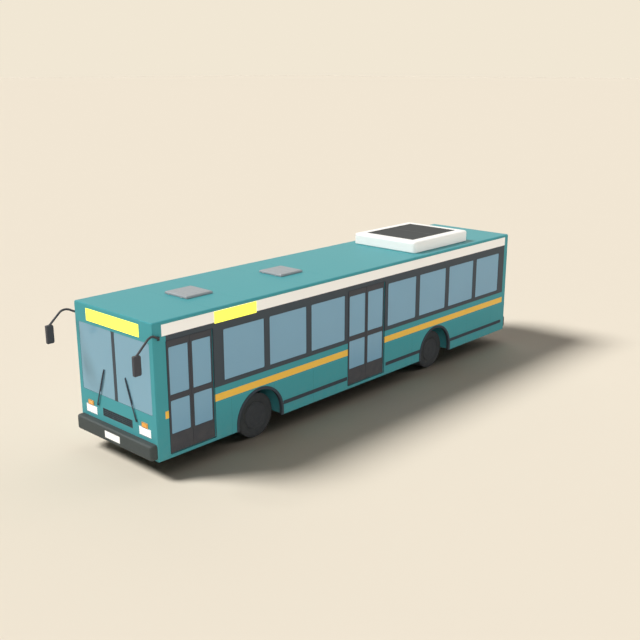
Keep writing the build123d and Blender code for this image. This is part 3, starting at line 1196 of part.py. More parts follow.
def driver_area():
    """Dashboard, platform, steering column and wheel."""
    platform_sides = (-INNER_HALF_WIDTH, -PLATFORM_INNER_SIDE)
    shelf_stations = (END_THICKNESS, END_THICKNESS + DASH_SHELF_DEPTH)
    shelf_heights = (FLOOR_TOP, DASH_TOP - DASH_SHELF_DROP)
    area = block((END_THICKNESS, PLATFORM_END), platform_sides, (FLOOR_TOP, PLATFORM_TOP))
    area += block((END_THICKNESS, DASH_END), platform_sides, (FLOOR_TOP, DASH_TOP))
    area += block(shelf_stations, (-INNER_HALF_WIDTH, INNER_HALF_WIDTH), shelf_heights)
    place = Pos(at(STEERING_WHEEL_STATION), -DRIVER_SIDE, DASH_TOP + STEERING_WHEEL_ABOVE_DASH)
    place *= Rot(0, -STEERING_WHEEL_TILT, 0)
    column = Cylinder(STEERING_COLUMN_RADIUS, STEERING_COLUMN_LENGTH)
    area += place * Torus(STEERING_WHEEL_RADIUS, STEERING_RIM_RADIUS)
    area += place * Box(STEERING_SPOKE_WIDTH, 2 * STEERING_WHEEL_RADIUS, STEERING_SPOKE_THICKNESS)
    area += place * Cylinder(STEERING_HUB_RADIUS, STEERING_HUB_THICKNESS)
    return area + place * Pos(0, 0, -STEERING_COLUMN_LENGTH / 2) * column


def overhead_rail():
    """Left overhead rail on short hangers from the ceiling."""
    stations = [station for station, _ in POLES]
    start, end = min(stations), max(stations)
    rail = Pos(at((start + end) / 2), OVERHEAD_RAIL_SIDE, OVERHEAD_RAIL_HEIGHT) * Rot(0, 90, 0)
    rail *= Cylinder(POLE_RADIUS, end - start)
    room = end - start - 2 * HANGER_END_MARGIN
    count = int(room / HANGER_PITCH) + 1
    for i in range(count + 1):
        station = start + HANGER_END_MARGIN + i * room / count
        middle = (OVERHEAD_RAIL_HEIGHT + CEILING) / 2
        hanger = Cylinder(POLE_RADIUS, CEILING - OVERHEAD_RAIL_HEIGHT)
        rail += Pos(at(station), OVERHEAD_RAIL_SIDE, middle) * hanger
    return rail


def handrails():
    rails = overhead_rail()
    for station, level in POLES:
        pole = Cylinder(POLE_RADIUS, CEILING - level)
        rails += Pos(at(station), POLE_SIDE, (level + CEILING) / 2) * pole
    return on_both_sides(rails)


# ---------------------------------------------------------------- the set of parts
def save_body():
    body = shell()
    fixed = {
        "left_side_wall": side_wall(body, 1),
        "right_side_wall": side_wall(body, -1),
        "roof_panels": roof_panels(body),
        "front_panel": front_panel(body),
        "rear_panel": rear_panel(body),
        "window_frames": window_frames(),
        "cabin_windows": cabin_windows(),
        "windscreen": windscreen(),
        "cantrail_stripes": cantrail_stripes(),
        "belt_stripes": belt_stripes(),
        "side_mouldings": side_mouldings(),
        "wheel_housings": wheel_housings(),
        "underframe": underframe(),
        "engine": engine(),
        "front_axle": front_axle(),
        "rear_axle": rear_axle(),
        "front_bumper": front_bumper(),
        "rear_bumper": rear_bumper(),
        "number_plates": number_plates(),
        "destination_signs": destination_signs(),
        "headlamps": headlamps(),
        "turn_indicators": turn_indicators(),
        "tail_lamps": tail_lamps(),
        "grille": grille(),
        "aircon_housing": aircon_housing(),
        "aircon_panel": aircon_panel(),
        "seats": seats(),
        "driver_area": driver_area(),
        "handrails": handrails(),
    }
    for node, shape in fixed.items():
        save(shape, node)


def save_doors_and_lids():
    save(engine_door(), "engine_door")
    for name, station in HATCH_STATIONS.items():
        save(hatch_lid(station), f"{name}_roof_hatch")
    for name, pivot, free_edge in door_leaves():
        save(door_leaf(pivot, free_edge), name)
        save(door_glass(pivot, free_edge), f"{name}_glass")


def save_pairs():
    """Pieces made for the left side and mirrored for the right."""
    pairs = {
        "front_tyre": tyre_ring(WHEEL_SIDE, FRONT_AXLE),
        "rear_tyres": tyre_ring(WHEEL_SIDE, REAR_AXLE) + tyre_ring(INNER_TWIN_SIDE, REAR_AXLE),
        "front_rim": front_rim(),
        "rear_rims": rear_rims(),
        "steering_knuckle": knuckle(),
        "wiper": wiper(),
        "exterior_mirror": exterior_mirror(),
    }
    for name, shape in pairs.items():
        save(shape, f"{name}_left")
        save(mirror(shape, Plane.XZ), f"{name}_right")


def main():
    os.makedirs("parts", exist_ok=True)
    save_body()
    save_doors_and_lids()
    save_pairs()


if __name__ == "__main__":
    main()
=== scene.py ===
"""Finishes, trim and soft goods of a single-deck city bus, built round its CAD frame."""

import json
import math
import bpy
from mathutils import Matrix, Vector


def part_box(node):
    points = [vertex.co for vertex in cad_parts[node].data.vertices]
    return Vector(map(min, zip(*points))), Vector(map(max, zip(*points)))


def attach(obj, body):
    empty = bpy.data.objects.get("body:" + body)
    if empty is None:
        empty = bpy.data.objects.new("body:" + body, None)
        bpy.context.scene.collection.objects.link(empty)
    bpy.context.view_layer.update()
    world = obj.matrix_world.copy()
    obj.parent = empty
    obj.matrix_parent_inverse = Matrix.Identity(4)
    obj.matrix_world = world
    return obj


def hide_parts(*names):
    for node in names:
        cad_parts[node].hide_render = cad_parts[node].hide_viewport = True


bl_info = {
    "name": "City Bus Looks",
    "version": (1, 0, 0),
    "blender": (4, 5, 0),
    "location": "View3D > Sidebar > City Bus",
    "description": "Finishes, trim and soft goods of a single-deck city bus",
    "category": "Object",
}

import bmesh
import bpy
import numpy as np
from bpy.props import FloatProperty, FloatVectorProperty, IntProperty, PointerProperty
from mathutils import Matrix, Vector
from mathutils.bvhtree import BVHTree

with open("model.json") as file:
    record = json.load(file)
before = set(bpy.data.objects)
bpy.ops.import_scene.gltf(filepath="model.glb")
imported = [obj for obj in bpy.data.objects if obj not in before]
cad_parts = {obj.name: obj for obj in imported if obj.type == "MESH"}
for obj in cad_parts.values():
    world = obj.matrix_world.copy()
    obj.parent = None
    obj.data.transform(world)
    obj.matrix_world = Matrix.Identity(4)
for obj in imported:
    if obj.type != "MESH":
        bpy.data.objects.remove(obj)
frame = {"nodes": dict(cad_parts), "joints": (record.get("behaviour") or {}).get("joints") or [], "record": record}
NODES = frame["nodes"]
BODY_OF_NODE = {node: body for body, nodes in frame["record"]["behaviour"]["bodies"].items() for node in nodes}
JOINTS = {joint["name"]: joint for joint in frame["joints"]}
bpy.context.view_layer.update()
FRONT_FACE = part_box("front_panel")[1].x
SIDE_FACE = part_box("left_side_wall")[1].y
ROOF_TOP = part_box("roof_panels")[1].z
SIDES = {"left": 1, "right": -1}
LEAVES = tuple(f"{door}_door_{end}_leaf" for door in ("front", "middle") for end in ("front", "rear"))
TYRES = ("front_tyre_left", "front_tyre_right", "rear_tyres_left", "rear_tyres_right")
RIMS = ("front_rim_left", "front_rim_right", "rear_rims_left", "rear_rims_right")
QUARTER = math.pi / 2
AHEAD = Vector((1, 0, 0))


# ---------------------------------------------------------------- sizes and colours a user may change
def length(label, text, default, low=0.0):
    return FloatProperty(name=label, description=text, default=default, min=low, unit="LENGTH", precision=4)


def strength(label, text, default):
    return FloatProperty(name=label, description=text, default=default, min=0.0)


def share(label, text, default):
    return FloatProperty(name=label, description=text, default=default, min=0.0, max=1.0, subtype="FACTOR")


def shade(label, text, default):
    return FloatVectorProperty(name=label, description=text, default=default, size=3, min=0, max=1, subtype="COLOR")


def count(label, text, default, low=1):
    return IntProperty(name=label, description=text, default=default, min=low)


class BusPaintSettings(bpy.types.PropertyGroup):
    body: shade("Body Colour", "Paint of the walls, ends and roof", (0.054, 0.270, 0.298))
    # Body teal darkened inside the wheel arches: painted shade in the recess
    arch_teal_with_painted_shade: shade("Arch Colour With Painted Shade", "Paint inside the wheel arches", (0.030, 0.185, 0.205))
    white: shade("White Stripe", "Stripe under the roof edge", (0.86, 0.84, 0.80))
    orange: shade("Orange Stripe", "Stripe along the waist", (0.78, 0.46, 0.063))
    band: shade("Window Band", "Dark surround of the windows", (0.045, 0.057, 0.069))
    door: shade("Door Leaves", "Frames and lower panels of the doors", (0.050, 0.052, 0.060))
    dust: shade("Road Dust", "Dust that gathers low on the body", (0.30, 0.26, 0.20))
    dust_share: share("Dust Amount", "How much of the dust shows at the skirt", 0.10)
    joint_pitch: length("Panel Joint Pitch", "Distance between the joints of the skirt panels", 1.2)
    joint_width: length("Panel Joint Width", "Width of a joint between two panels", 0.002)


class BusGlassSettings(bpy.types.PropertyGroup):
    tint: shade("Glass Tint", "Colour of the side and rear glass", (0.225, 0.42, 0.56))
    windscreen: shade("Windscreen Tint", "Colour of the windscreen", (0.222, 0.405, 0.515))
    clearness: share("Clearness", "Share of the light that passes through the glass", 0.22)
    gasket_width: length("Gasket Width", "Width of the rubber round each pane", 0.014)
    screen_gasket: length("Windscreen Gasket", "Width of the rubber round the windscreen", 0.005)
    gasket_height: length("Gasket Height", "How far the rubber stands off the pane", 0.008)
    corner_radius: length("Corner Radius", "Rounding of the rubber at a pane's corners", 0.030)


class BusTyreSettings(bpy.types.PropertyGroup):
    groove_depth: length("Groove Depth", "Depth of the tread grooves", 0.010)
    blocks: count("Blocks Around", "Tread blocks round one rib", 66, 24)
    block_gap: share("Block Gap", "Gap between two blocks as a share of their pitch", 0.14)
    segments: count("Carcass Segments", "Flats round the tyre's carcass", 96, 32)


class BusTrimSettings(bpy.types.PropertyGroup):
    nut_radius: length("Wheel Nut Size", "Half the width of a wheel nut", 0.016)
    nut_height: length("Wheel Nut Height", "Height of a wheel nut", 0.022)
    nuts: count("Wheel Nuts", "Nuts round one wheel", 8, 4)
    nut_circle: length("Nut Circle", "Radius of the circle the nuts stand on", 0.159)
    cover_inset: length("Wheel Cover Inset", "How far a wheel cover lies inside the tyre's side", 0.016)
    cover_clips: count("Cover Clips", "Clips round one wheel cover", 6, 3)
    screw_radius: length("Screw Size", "Radius of a cover screw's head", 0.008)
    screw_height: length("Screw Height", "Height of a cover screw's head", 0.004)
    slats: count("Roof Unit Slats", "Slats over the roof unit's grille", 36, 4)
    louvres: count("Engine Door Louvres", "Louvres in each half of the engine door", 9, 2)


class BusSeatSettings(bpy.types.PropertyGroup):
    fabric: shade("Seat Fabric", "Woven cover of the seats", (0.040, 0.105, 0.170))
    voxel: length("Remesh Size", "Voxel size of the padded pieces before they are filled", 0.0225, 0.004)
    pressure: strength("Pressure", "Pressure that fills the padding", 4.0)
    swell: length("Most Swell", "How far a point of the padding may move", 0.016)
    fill: share("Fill", "How full the padding is", 0.65)
    piping: length("Piping Radius", "Radius of the piped seam", 0.005)


class BusStageSettings(bpy.types.PropertyGroup):
    floor: shade("Floor Colour", "Colour of the studio floor", (0.698, 0.636, 0.530))
    backdrop: shade("Backdrop Colour", "Colour behind the bus", (0.881, 0.800, 0.659))
    key: strength("Key Strength", "Strength of the main light", 4.35)
    wide: strength("Wide Strength", "Strength of the broad light behind", 1.85)
    fill: strength("Fill Strength", "Strength of the low side light", 2.9)
    sky: strength("Sky Strength", "Strength of the even light", 0.01)


# ---------------------------------------------------------------- node trees
class Tree:
    """Node tree with short ways to add nodes and to join them."""

    def __init__(self, tree):
        self.nodes, self.links = tree.nodes, tree.links

    def feed(self, socket, value):
        """Links a socket to another one or to a node's first output, or sets its own value."""
        if isinstance(value, bpy.types.Node):
            value = value.outputs[0]
        if isinstance(value, bpy.types.NodeSocket):
            self.links.new(value, socket)
        else:
            socket.default_value = value

    def add(self, kind, values=None, **settings):
        """New node with its settings and inputs; inputs are given by name or number."""
        made = self.nodes.new(kind)
        for name, value in settings.items():
            setattr(made, name, value)
        for key, value in (values or {}).items():
            self.feed(made.inputs[key], value)
        return made

    def group(self, name, where, values):
        """Outputs of a shader group, placed in a material."""
        made = self.nodes.new("ShaderNodeGroup")
        made.node_tree = group_tree(name)
        for key, value in {"Coordinates": where, **values}.items():
            self.feed(made.inputs[key], value)
        return made.outputs

    def maths(self, operation, *values):
        return self.add("ShaderNodeMath", dict(enumerate(values)), operation=operation)

    def scaled(self, vector, factor):
        return self.add("ShaderNodeVectorMath", {0: vector, "Scale": factor}, operation="SCALE")

    def parts(self, vector):
        return self.add("ShaderNodeSeparateXYZ", {0: vector}).outputs

    def noise(self, where, scale, detail, **more):
        return self.add("ShaderNodeTexNoise", {"Vector": where, "Scale": scale, "Detail": detail, **more})

    def cells(self, where, scale, **settings):
        return self.add("ShaderNodeTexVoronoi", {"Vector": where, "Scale": scale}, **settings)

    def ramp(self, value, low, high, to_low=0.0, to_high=1.0):
        """Value carried over from one range to another."""
        ends = {"From Min": low, "From Max": high, "To Min": to_low, "To Max": to_high}
        return self.add("ShaderNodeMapRange", {"Value": value, **ends})

    def mix(self, factor, first, second):
        return self.add("ShaderNodeMix", {0: factor, 6: first, 7: second}, data_type="RGBA").outputs[2]

    def bump(self, height, strength_of, distance):
        return self.add("ShaderNodeBump", {"Height": height, "Strength": strength_of, "Distance": distance})

    def fillet(self, curve, steps, radius):
        corners = {"Curve": curve, "Count": steps, "Radius": radius, "Limit Radius": True}
        return self.add("GeometryNodeFilletCurve", corners, mode="POLY")

    def swept(self, given, lines, section, smooth, **caps):
        """Section swept along lines, made real, with its material."""
        path = self.add("GeometryNodeCurveToMesh", {"Curve": lines, "Profile Curve": section, **caps})
        return self.real(given, self.add("GeometryNodeSetShadeSmooth", {0: path, "Shade Smooth": smooth}))

    def repeated(self, given, shape):
        """Shape on every point, turned by the point's own rotation, made real, with its material."""
        turn = self.add("GeometryNodeInputNamedAttribute", {"Name": "turn"}, data_type="FLOAT_VECTOR")
        return self.real(given, self.add("GeometryNodeInstanceOnPoints", {
            "Points": given["Points"], "Instance": shape, "Rotation": turn.outputs["Attribute"]}))

    def real(self, given, geometry):
        plain = self.add("GeometryNodeRealizeInstances", {0: geometry})
        return self.add("GeometryNodeSetMaterial", {0: plain, "Material": given["Material"]})


GROUPS = {}
SOCKET_OF = {float: "Float", int: "Int", tuple: "Color"}
GREY = (0.5, 0.5, 0.5, 1.0)


def node_group(name, inputs, outputs, kind="ShaderNodeTree"):
    """Notes how a group is built. A socket is given by its default or, without one, by its type."""
    def note(build):
        GROUPS[name] = (inputs, outputs, kind, build)
        return build
    return note


def group_tree(name):
    """Node group of this name, built the first time it is asked for."""
    if name in bpy.data.node_groups:
        return bpy.data.node_groups[name]
    inputs, outputs, kind, build = GROUPS[name]
    made = bpy.data.node_groups.new(name, kind)
    for direction, sockets in (("INPUT", inputs), ("OUTPUT", outputs)):
        for label, default in sockets.items():
            typed = isinstance(default, str)
            socket_type = "NodeSocket" + (default if typed else SOCKET_OF[type(default)])
            socket = made.interface.new_socket(name=label, in_out=direction, socket_type=socket_type)
            if not typed:
                socket.default_value = default
    tree = Tree(made)
    tree.add("NodeGroupOutput", build(tree, tree.add("NodeGroupInput").outputs))
    return made


def opaque(colour):
    return (*colour[:3], 1.0)


# ---------------------------------------------------------------- shader groups
@node_group("Sheet Tone", {"Coordinates": "Vector", "Color": GREY, "Scale": 1.5, "Amount": 0.03},
            {"Color": "Color"})
def sheet_tone(tree, given):
    """Slow change of tone over a painted or moulded sheet."""
    clouds = tree.noise(given["Coordinates"], given["Scale"], 3.0)
    swing = tree.maths("MULTIPLY", tree.maths("SUBTRACT", clouds, 0.5), 2.0)
    return {"Color": tree.scaled(given["Color"], tree.maths("MULTIPLY_ADD", swing, given["Amount"], 1.0))}


@node_group("Road Dust", {"Coordinates": "Vector", "Color": GREY, "Dust Color": (0.3, 0.26, 0.2, 1.0),
                          "Height": 1.1, "Amount": 0.1}, {"Color": "Color", "Mask": "Float"})
def road_dust(tree, given):
    """Dust that thickens towards the road, broken up by noise."""
    near = tree.ramp(tree.parts(given["Coordinates"])["Z"], given["Height"], 0.3)
    patchy = tree.ramp(tree.noise(given["Coordinates"], 7.0, 5.0), 0.3, 0.7)
    mask = tree.maths("MULTIPLY", tree.maths("MULTIPLY", near, patchy), given["Amount"])
    return {"Color": tree.mix(mask, given["Color"], given["Dust Color"]), "Mask": mask}


@node_group("Surface Grain", {"Coordinates": "Vector", "Scale": 400.0}, {"Height": "Float"})
def surface_grain(tree, given):
    """Fine relief of moulded plastic, rubber or paint."""
    cells = tree.cells(given["Coordinates"], given["Scale"])
    fine = tree.noise(given["Coordinates"], given["Scale"], 2.0)
    return {"Height": tree.maths("MULTIPLY_ADD", cells, 0.6, fine)}


@node_group("Panel Joints", {"Coordinates": "Vector", "Pitch": 1.2, "Offset": 0.0, "Width": 0.004, "Top": 1.16},
            {"Mask": "Float"})
def panel_joints(tree, given):
    """Narrow upright joints at an even pitch along the bus."""
    parts = tree.parts(given["Coordinates"])
    from_joint = tree.maths("PINGPONG", tree.maths("SUBTRACT", parts["X"], given["Offset"]),
                            tree.maths("MULTIPLY", given["Pitch"], 0.5))
    line = tree.maths("LESS_THAN", from_joint, tree.maths("MULTIPLY", given["Width"], 0.5))
    return {"Mask": tree.maths("MULTIPLY", line, tree.maths("LESS_THAN", parts["Z"], given["Top"]))}


@node_group("Cloth Weave", {"Coordinates": "Vector", "Threads": 900.0}, {"Height": "Float", "Fleck": "Float"})
def cloth_weave(tree, given):
    """Plain weave of two crossing threads, with a lighter fleck."""
    parts = tree.parts(given["Coordinates"])
    x, y, z = [tree.maths("SINE", tree.maths("MULTIPLY", parts[axis], given["Threads"])) for axis in "XYZ"]
    squares = tree.cells(given["Coordinates"], 34.0, distance="CHEBYCHEV")
    return {"Height": tree.maths("ADD", tree.maths("MULTIPLY", x, y), tree.maths("MULTIPLY", y, z)),
            "Fleck": tree.ramp(squares, 0.16, 0.13)}


@node_group("Scuffs", {"Coordinates": "Vector", "Scale": 6.0, "Amount": 0.5}, {"Mask": "Float"})
def scuffs(tree, given):
    """Streaks and patches where a surface is rubbed."""
    streaks = tree.noise(given["Coordinates"], given["Scale"], 8.0, Roughness=0.7, Distortion=0.6)
    return {"Mask": tree.maths("MULTIPLY", tree.ramp(streaks, 0.52, 0.72), given["Amount"])}


# ---------------------------------------------------------------- materials
JOINT_SHADE = (0.01, 0.02, 0.02, 1.0)
JOINT_OFFSET = 0.4


def new_material(name):
    """Empty material, its tree and its Object coordinates."""
    material = bpy.data.materials.new(name)
    material.use_nodes = True
    material.node_tree.nodes.clear()
    tree = Tree(material.node_tree)
    return material, tree, tree.add("ShaderNodeTexCoord").outputs["Object"]


def shaded(material, tree, values):
    """The material, with a shader that has these inputs."""
    tree.add("ShaderNodeOutputMaterial", {"Surface": tree.add("ShaderNodeBsdfPrincipled", values)})
    return material


def toned(tree, where, colour, scale, amount):
    return tree.group("Sheet Tone", where, {"Color": opaque(colour), "Scale": scale, "Amount": amount})["Color"]


def coated(name, colour, roughness, tone=0.03, tone_scale=1.5, grain=0.0, grain_scale=400.0, dust=0.0,
           coat=0.0, metallic=0.0, specular=0.3, joints=False):
    """Paint, plastic or rubber: toned colour, panel joints, dust low down, fine grain and a clear coat."""
    settings = bpy.context.scene.bus_paint
    material, tree, where = new_material(name)
    colour = toned(tree, where, colour, tone_scale, tone)
    if joints:
        line = tree.group("Panel Joints", where, {
            "Pitch": settings.joint_pitch, "Offset": JOINT_OFFSET, "Width": settings.joint_width})["Mask"]
        colour = tree.mix(line, colour, JOINT_SHADE)
    if dust:
        dusty = tree.group("Road Dust", where, {
            "Color": colour, "Dust Color": opaque(settings.dust), "Amount": dust})
        colour = dusty["Color"]
        roughness = tree.maths("MULTIPLY_ADD", dusty["Mask"], 1.0 - roughness, roughness)
    values = {"Base Color": colour, "Roughness": roughness, "Metallic": metallic,
              "Specular IOR Level": specular, "Coat Weight": coat, "Coat Roughness": 0.08}
    if grain:
        height = tree.group("Surface Grain", where, {"Scale": grain_scale})["Height"]
        values["Normal"] = tree.bump(height, grain, 0.001)
    return shaded(material, tree, values)


def glazing(name, tint, clearness):
    """Tinted safety glass with a faint haze."""
    material, tree, where = new_material(name)
    film = tree.group("Scuffs", where, {"Scale": 3.0, "Amount": 0.06})["Mask"]
    return shaded(material, tree, {
        "Base Color": toned(tree, where, tint, 0.8, 0.02), "Roughness": tree.maths("ADD", film, 0.07),
        "Transmission Weight": clearness, "IOR": 1.45, "Specular IOR Level": 0.35})


def lit_matrix(name, colour, glow, pitch):
    """Lit sign face: a fine grid of cells, all on, and nothing written on it."""
    material, tree, where = new_material(name)
    parts = tree.parts(where)
    x, y, z = [tree.maths("COSINE", tree.maths("MULTIPLY", parts[axis], math.tau / pitch)) for axis in "XYZ"]
    grid = tree.maths("ADD", tree.maths("ADD", x, y), z)
    cells = tree.scaled(colour, tree.ramp(grid, -1.0, 2.0, 0.92, 1.0))
    return shaded(material, tree, {
        "Base Color": cells, "Emission Color": cells, "Emission Strength": glow, "Roughness": 0.4})


def lamp_lens(name, colour, pitch, glow):
    """Moulded lens with upright flutes; its faint glow is a painted reflection of the reflector behind it, not a lit
    lamp.
    """
    material, tree, where = new_material(name)
    flutes = tree.maths("MULTIPLY", tree.maths("PINGPONG", tree.parts(where)["Y"], pitch), 1.0 / pitch)
    tone = toned(tree, where, colour, 9.0, 0.04)
    return shaded(material, tree, {
        "Base Color": tone, "Emission Color": tone, "Emission Strength": glow, "Roughness": 0.12,
        "Coat Weight": 0.6, "Coat Roughness": 0.04, "Normal": tree.bump(flutes, 0.5, pitch)})


def seat_cloth(name, colour):
    """Woven seat cover with a square fleck."""
    material, tree, where = new_material(name)
    weave = tree.group("Cloth Weave", where, {"Threads": 1400.0})
    light = opaque([min(1.0, 2.4 * part + 0.03) for part in colour])
    return shaded(material, tree, {
        "Base Color": tree.mix(weave["Fleck"], toned(tree, where, colour, 14.0, 0.12), light),
        "Roughness": 0.9, "Sheen Weight": 0.25, "Sheen Roughness": 0.5,
        "Normal": tree.bump(weave["Height"], 0.35, 0.0006)})


def drawn_metal(name, colour, roughness):
    """Brushed metal with its grain drawn out along one direction."""
    material, tree, where = new_material(name)
    drawn = tree.add("ShaderNodeMapping", {"Vector": where, "Scale": (8.0, 300.0, 300.0)})
    lines = tree.noise(drawn, 1.0, 4.0)
    return shaded(material, tree, {
        "Base Color": toned(tree, where, colour, 20.0, 0.10), "Metallic": 1.0,
        "Roughness": tree.maths("MULTIPLY_ADD", lines, 0.2, roughness), "Normal": tree.bump(lines, 0.2, 0.0005)})


def mirror_glass():
    """Silvered glass with a faint film."""
    material, tree, where = new_material("Mirror Glass")
    film = tree.group("Scuffs", where, {"Scale": 20.0, "Amount": 0.05})["Mask"]
    return shaded(material, tree, {
        "Roughness": tree.maths("ADD", film, 0.02), "Base Color": (0.80, 0.83, 0.85, 1.0), "Metallic": 1.0})


def make_finishes(scene):
    """Every finish of the bus, by the record's slot name or a name of its own."""
    paint, glass, fabric = scene.bus_paint, scene.bus_glass, scene.bus_seats.fabric
    black = (0.5, 0.04, 2.0, 0.04, 700.0, 0.1)
    stripe = (0.45, 0.01, 0.7)
    wheel = (0.6, 0.06, 10.0, 0.06, 500.0, 0.04)
    # Numbers after a colour: roughness, amount and scale of its tone, depth and scale of its grain, dust, coat
    return {
        "body_teal": coated("Body Paint", paint.body, 0.42, 0.015, 0.6, 0.02, 900.0, paint.dust_share, 0.04,
                            specular=0.1, joints=True),
        # Arch paint is the body teal darkened as painted shade in the wheel arches
        "housing_teal": coated("Arch Paint", paint.arch_teal_with_painted_shade, 0.6, 0.05, 4.0, 0.05, 500.0, 0.12),
        "stripe_white": coated("White Stripe", paint.white, *stripe, coat=0.2),
        "stripe_orange": coated("Orange Stripe", paint.orange, *stripe, coat=0.2),
        "matte_black": coated("Window Surround", paint.band, *black, specular=0.2),
        "door_black": coated("Door Leaves", paint.door, *black, specular=0.2),
        "grille_bar": coated("Grille Bars", (0.055, 0.085, 0.095), 0.5, 0.04, 6.0, 0.05, 600.0, 0.1,
                             specular=0.2),
        "rubber_trim": coated("Rubber Trim", (0.032, 0.041, 0.054), 0.7, 0.08, 5.0, 0.15, 500.0, 0.05),
        "window_glass": glazing("Side Glass", glass.tint, glass.clearness),
        "windscreen_glass": glazing("Windscreen Glass", glass.windscreen, glass.clearness),
        "floor_grey": coated("Floor Covering", (0.10, 0.105, 0.11), 0.75, 0.12, 60.0, 0.2, 250.0),
        "cast_grey": coated("Cast Iron", (0.055, 0.056, 0.058), 0.65, 0.2, 20.0, 0.4, 180.0, 0.3, metallic=0.4),
        "bumper_grey": coated("Bumper Moulding", (0.046, 0.056, 0.056), 0.62, 0.05, 3.0, 0.2, 420.0, 0.03,
                              specular=0.2),
        "plate_white": coated("Blank Plate", (0.90, 0.90, 0.88), 0.35, 0.01, 9.0, 0.05, 1500.0, coat=0.4),
        "sign_yellow": lit_matrix("Sign Face", (1.0, 0.98, 0.10), 0.55, 0.0125),
        # Glow strengths of the lenses are painted reflection of the reflectors behind them
        "lamp_clear": lamp_lens("Headlamp Lens", (0.92, 0.93, 0.94), 0.012, 0.25),
        "lamp_amber": lamp_lens("Amber Lens", (0.86, 0.38, 0.06), 0.008, 0.05),
        "lamp_red": lamp_lens("Red Lens", (0.50, 0.02, 0.02), 0.008, 0.03),
        "unit_white": coated("Roof Unit Cover", (0.81, 0.81, 0.785), 0.4, 0.015, 1.2, 0.03, 600.0, coat=0.1),
        "unit_dark": coated("Roof Unit Grille", (0.052, 0.055, 0.055), 0.6, 0.05, 8.0, 0.1, 500.0,
                            specular=0.15),
        "hatch_grey": coated("Hatch Moulding", (0.268, 0.290, 0.305), 0.5, 0.03, 3.0, 0.08, 450.0,
                             specular=0.15),
        "seat_fabric": seat_cloth("Seat Cover", fabric),
        "seat_trim": coated("Seat Piping", [0.5 * part for part in fabric], 0.6, 0.05, 20.0, 0.2, 900.0),
        "cover_grey": coated("Wheel Cover", (0.032, 0.036, 0.041), *wheel, specular=0.2),
        "dash_grey": coated("Dashboard", (0.030, 0.032, 0.035), 0.65, 0.05, 5.0, 0.3, 350.0),
        "rail_yellow": coated("Handrail Coating", (0.80, 0.55, 0.04), 0.35, 0.03, 12.0, 0.04, 800.0, coat=0.3),
        "tyre_black": coated("Tyre Rubber", (0.031, 0.035, 0.038), 0.8, 0.10, 12.0, 0.3, 300.0, 0.04,
                             specular=0.2),
        # Wheel paint lightened to cancel the shade in the concave discs: painted light
        "rim_dark": coated("Wheel Paint", (0.070, 0.074, 0.078), *wheel, specular=0.2),
        "steel": drawn_metal("Machined Steel", (0.42, 0.42, 0.43), 0.3),
        "mirror_glass": mirror_glass(),
    }


FINISHES = {}
# CAD nodes whose finish is a variant of their slot's
VARIANTS = dict.fromkeys((*LEAVES, "exterior_mirror_left", "exterior_mirror_right"), "door_black")


# ---------------------------------------------------------------- geometry groups
@node_group("Rubber Outline", {"Outlines": "Geometry", "Corner Radius": 0.03, "Width": 0.014, "Height": 0.008,
                               "Corner Steps": 5, "Material": "Material"},
            {"Strips": "Geometry"}, "GeometryNodeTree")
def rubber_outline(tree, given):
    """Closed outlines become strips of rubber with rounded corners."""
    lines = tree.add("GeometryNodeMeshToCurve", {0: given["Outlines"]})
    lines = tree.fillet(lines, given["Corner Steps"], given["Corner Radius"])
    section = tree.add("GeometryNodeCurvePrimitiveQuadrilateral", {key: given[key] for key in ("Width", "Height")})
    return {"Strips": tree.swept(given, lines, tree.fillet(section, 2, 0.0025), False)}


@node_group("Round Tube", {"Lines": "Geometry", "Radius": 0.005, "Sides": 8, "Bend Radius": 0.02,
                           "Material": "Material"}, {"Tubes": "Geometry"}, "GeometryNodeTree")
def round_tube(tree, given):
    """Outlines become round tubes: piping and grab handles."""
    lines = tree.fillet(tree.add("GeometryNodeMeshToCurve", {0: given["Lines"]}), 5, given["Bend Radius"])
    section = tree.add("GeometryNodeCurvePrimitiveCircle", {"Resolution": given["Sides"], "Radius": given["Radius"]})
    return {"Tubes": tree.swept(given, lines, section, True, **{"Fill Caps": True})}


@node_group("Fasteners", {"Points": "Geometry", "Radius": 0.008, "Height": 0.004, "Flats": 6,
                          "Material": "Material"}, {"Heads": "Geometry"}, "GeometryNodeTree")
def fasteners(tree, given):
    """A screw or nut head with its washer on every point."""
    def cylinder(sides, radius, depth):
        return tree.add("GeometryNodeMeshCylinder", {"Vertices": sides, "Radius": radius, "Depth": depth})

    head = cylinder(given["Flats"], given["Radius"], given["Height"])
    washer = cylinder(14, tree.maths("MULTIPLY", given["Radius"], 1.35), tree.maths("MULTIPLY", given["Height"], 0.3))
    raised = tree.add("ShaderNodeCombineXYZ", {"Z": tree.maths("MULTIPLY", given["Height"], 0.5)})
    both = tree.add("GeometryNodeJoinGeometry")
    for part in (tree.add("GeometryNodeTransform", {"Geometry": head, "Translation": raised}), washer):
        tree.feed(both.inputs[0], part)
    return {"Heads": tree.repeated(given, both)}


@node_group("Tapered Blocks", {"Points": "Geometry", "Length": 0.03, "Width": 0.03, "Height": 0.01, "Taper": 0.1,
                               "Material": "Material"}, {"Blocks": "Geometry"}, "GeometryNodeTree")
def tapered_blocks(tree, given):
    """A block with a narrower top on every point."""
    size = tree.add("ShaderNodeCombineXYZ", {i: given[key] for i, key in enumerate(("Length", "Width", "Height"))})
    place = tree.add("GeometryNodeInputPosition")
    slim = tree.maths("SUBTRACT", 1.0, given["Taper"])
    narrowing = tree.add("ShaderNodeCombineXYZ", {0: slim, 1: slim, 2: 1.0})
    block = tree.add("GeometryNodeSetPosition", {
        0: tree.add("GeometryNodeMeshCube", {"Size": size}),
        "Selection": tree.maths("GREATER_THAN", tree.parts(place)["Z"], 0.0),
        "Position": tree.add("ShaderNodeVectorMath", {0: place, 1: narrowing}, operation="MULTIPLY")})
    return {"Blocks": tree.repeated(given, block)}


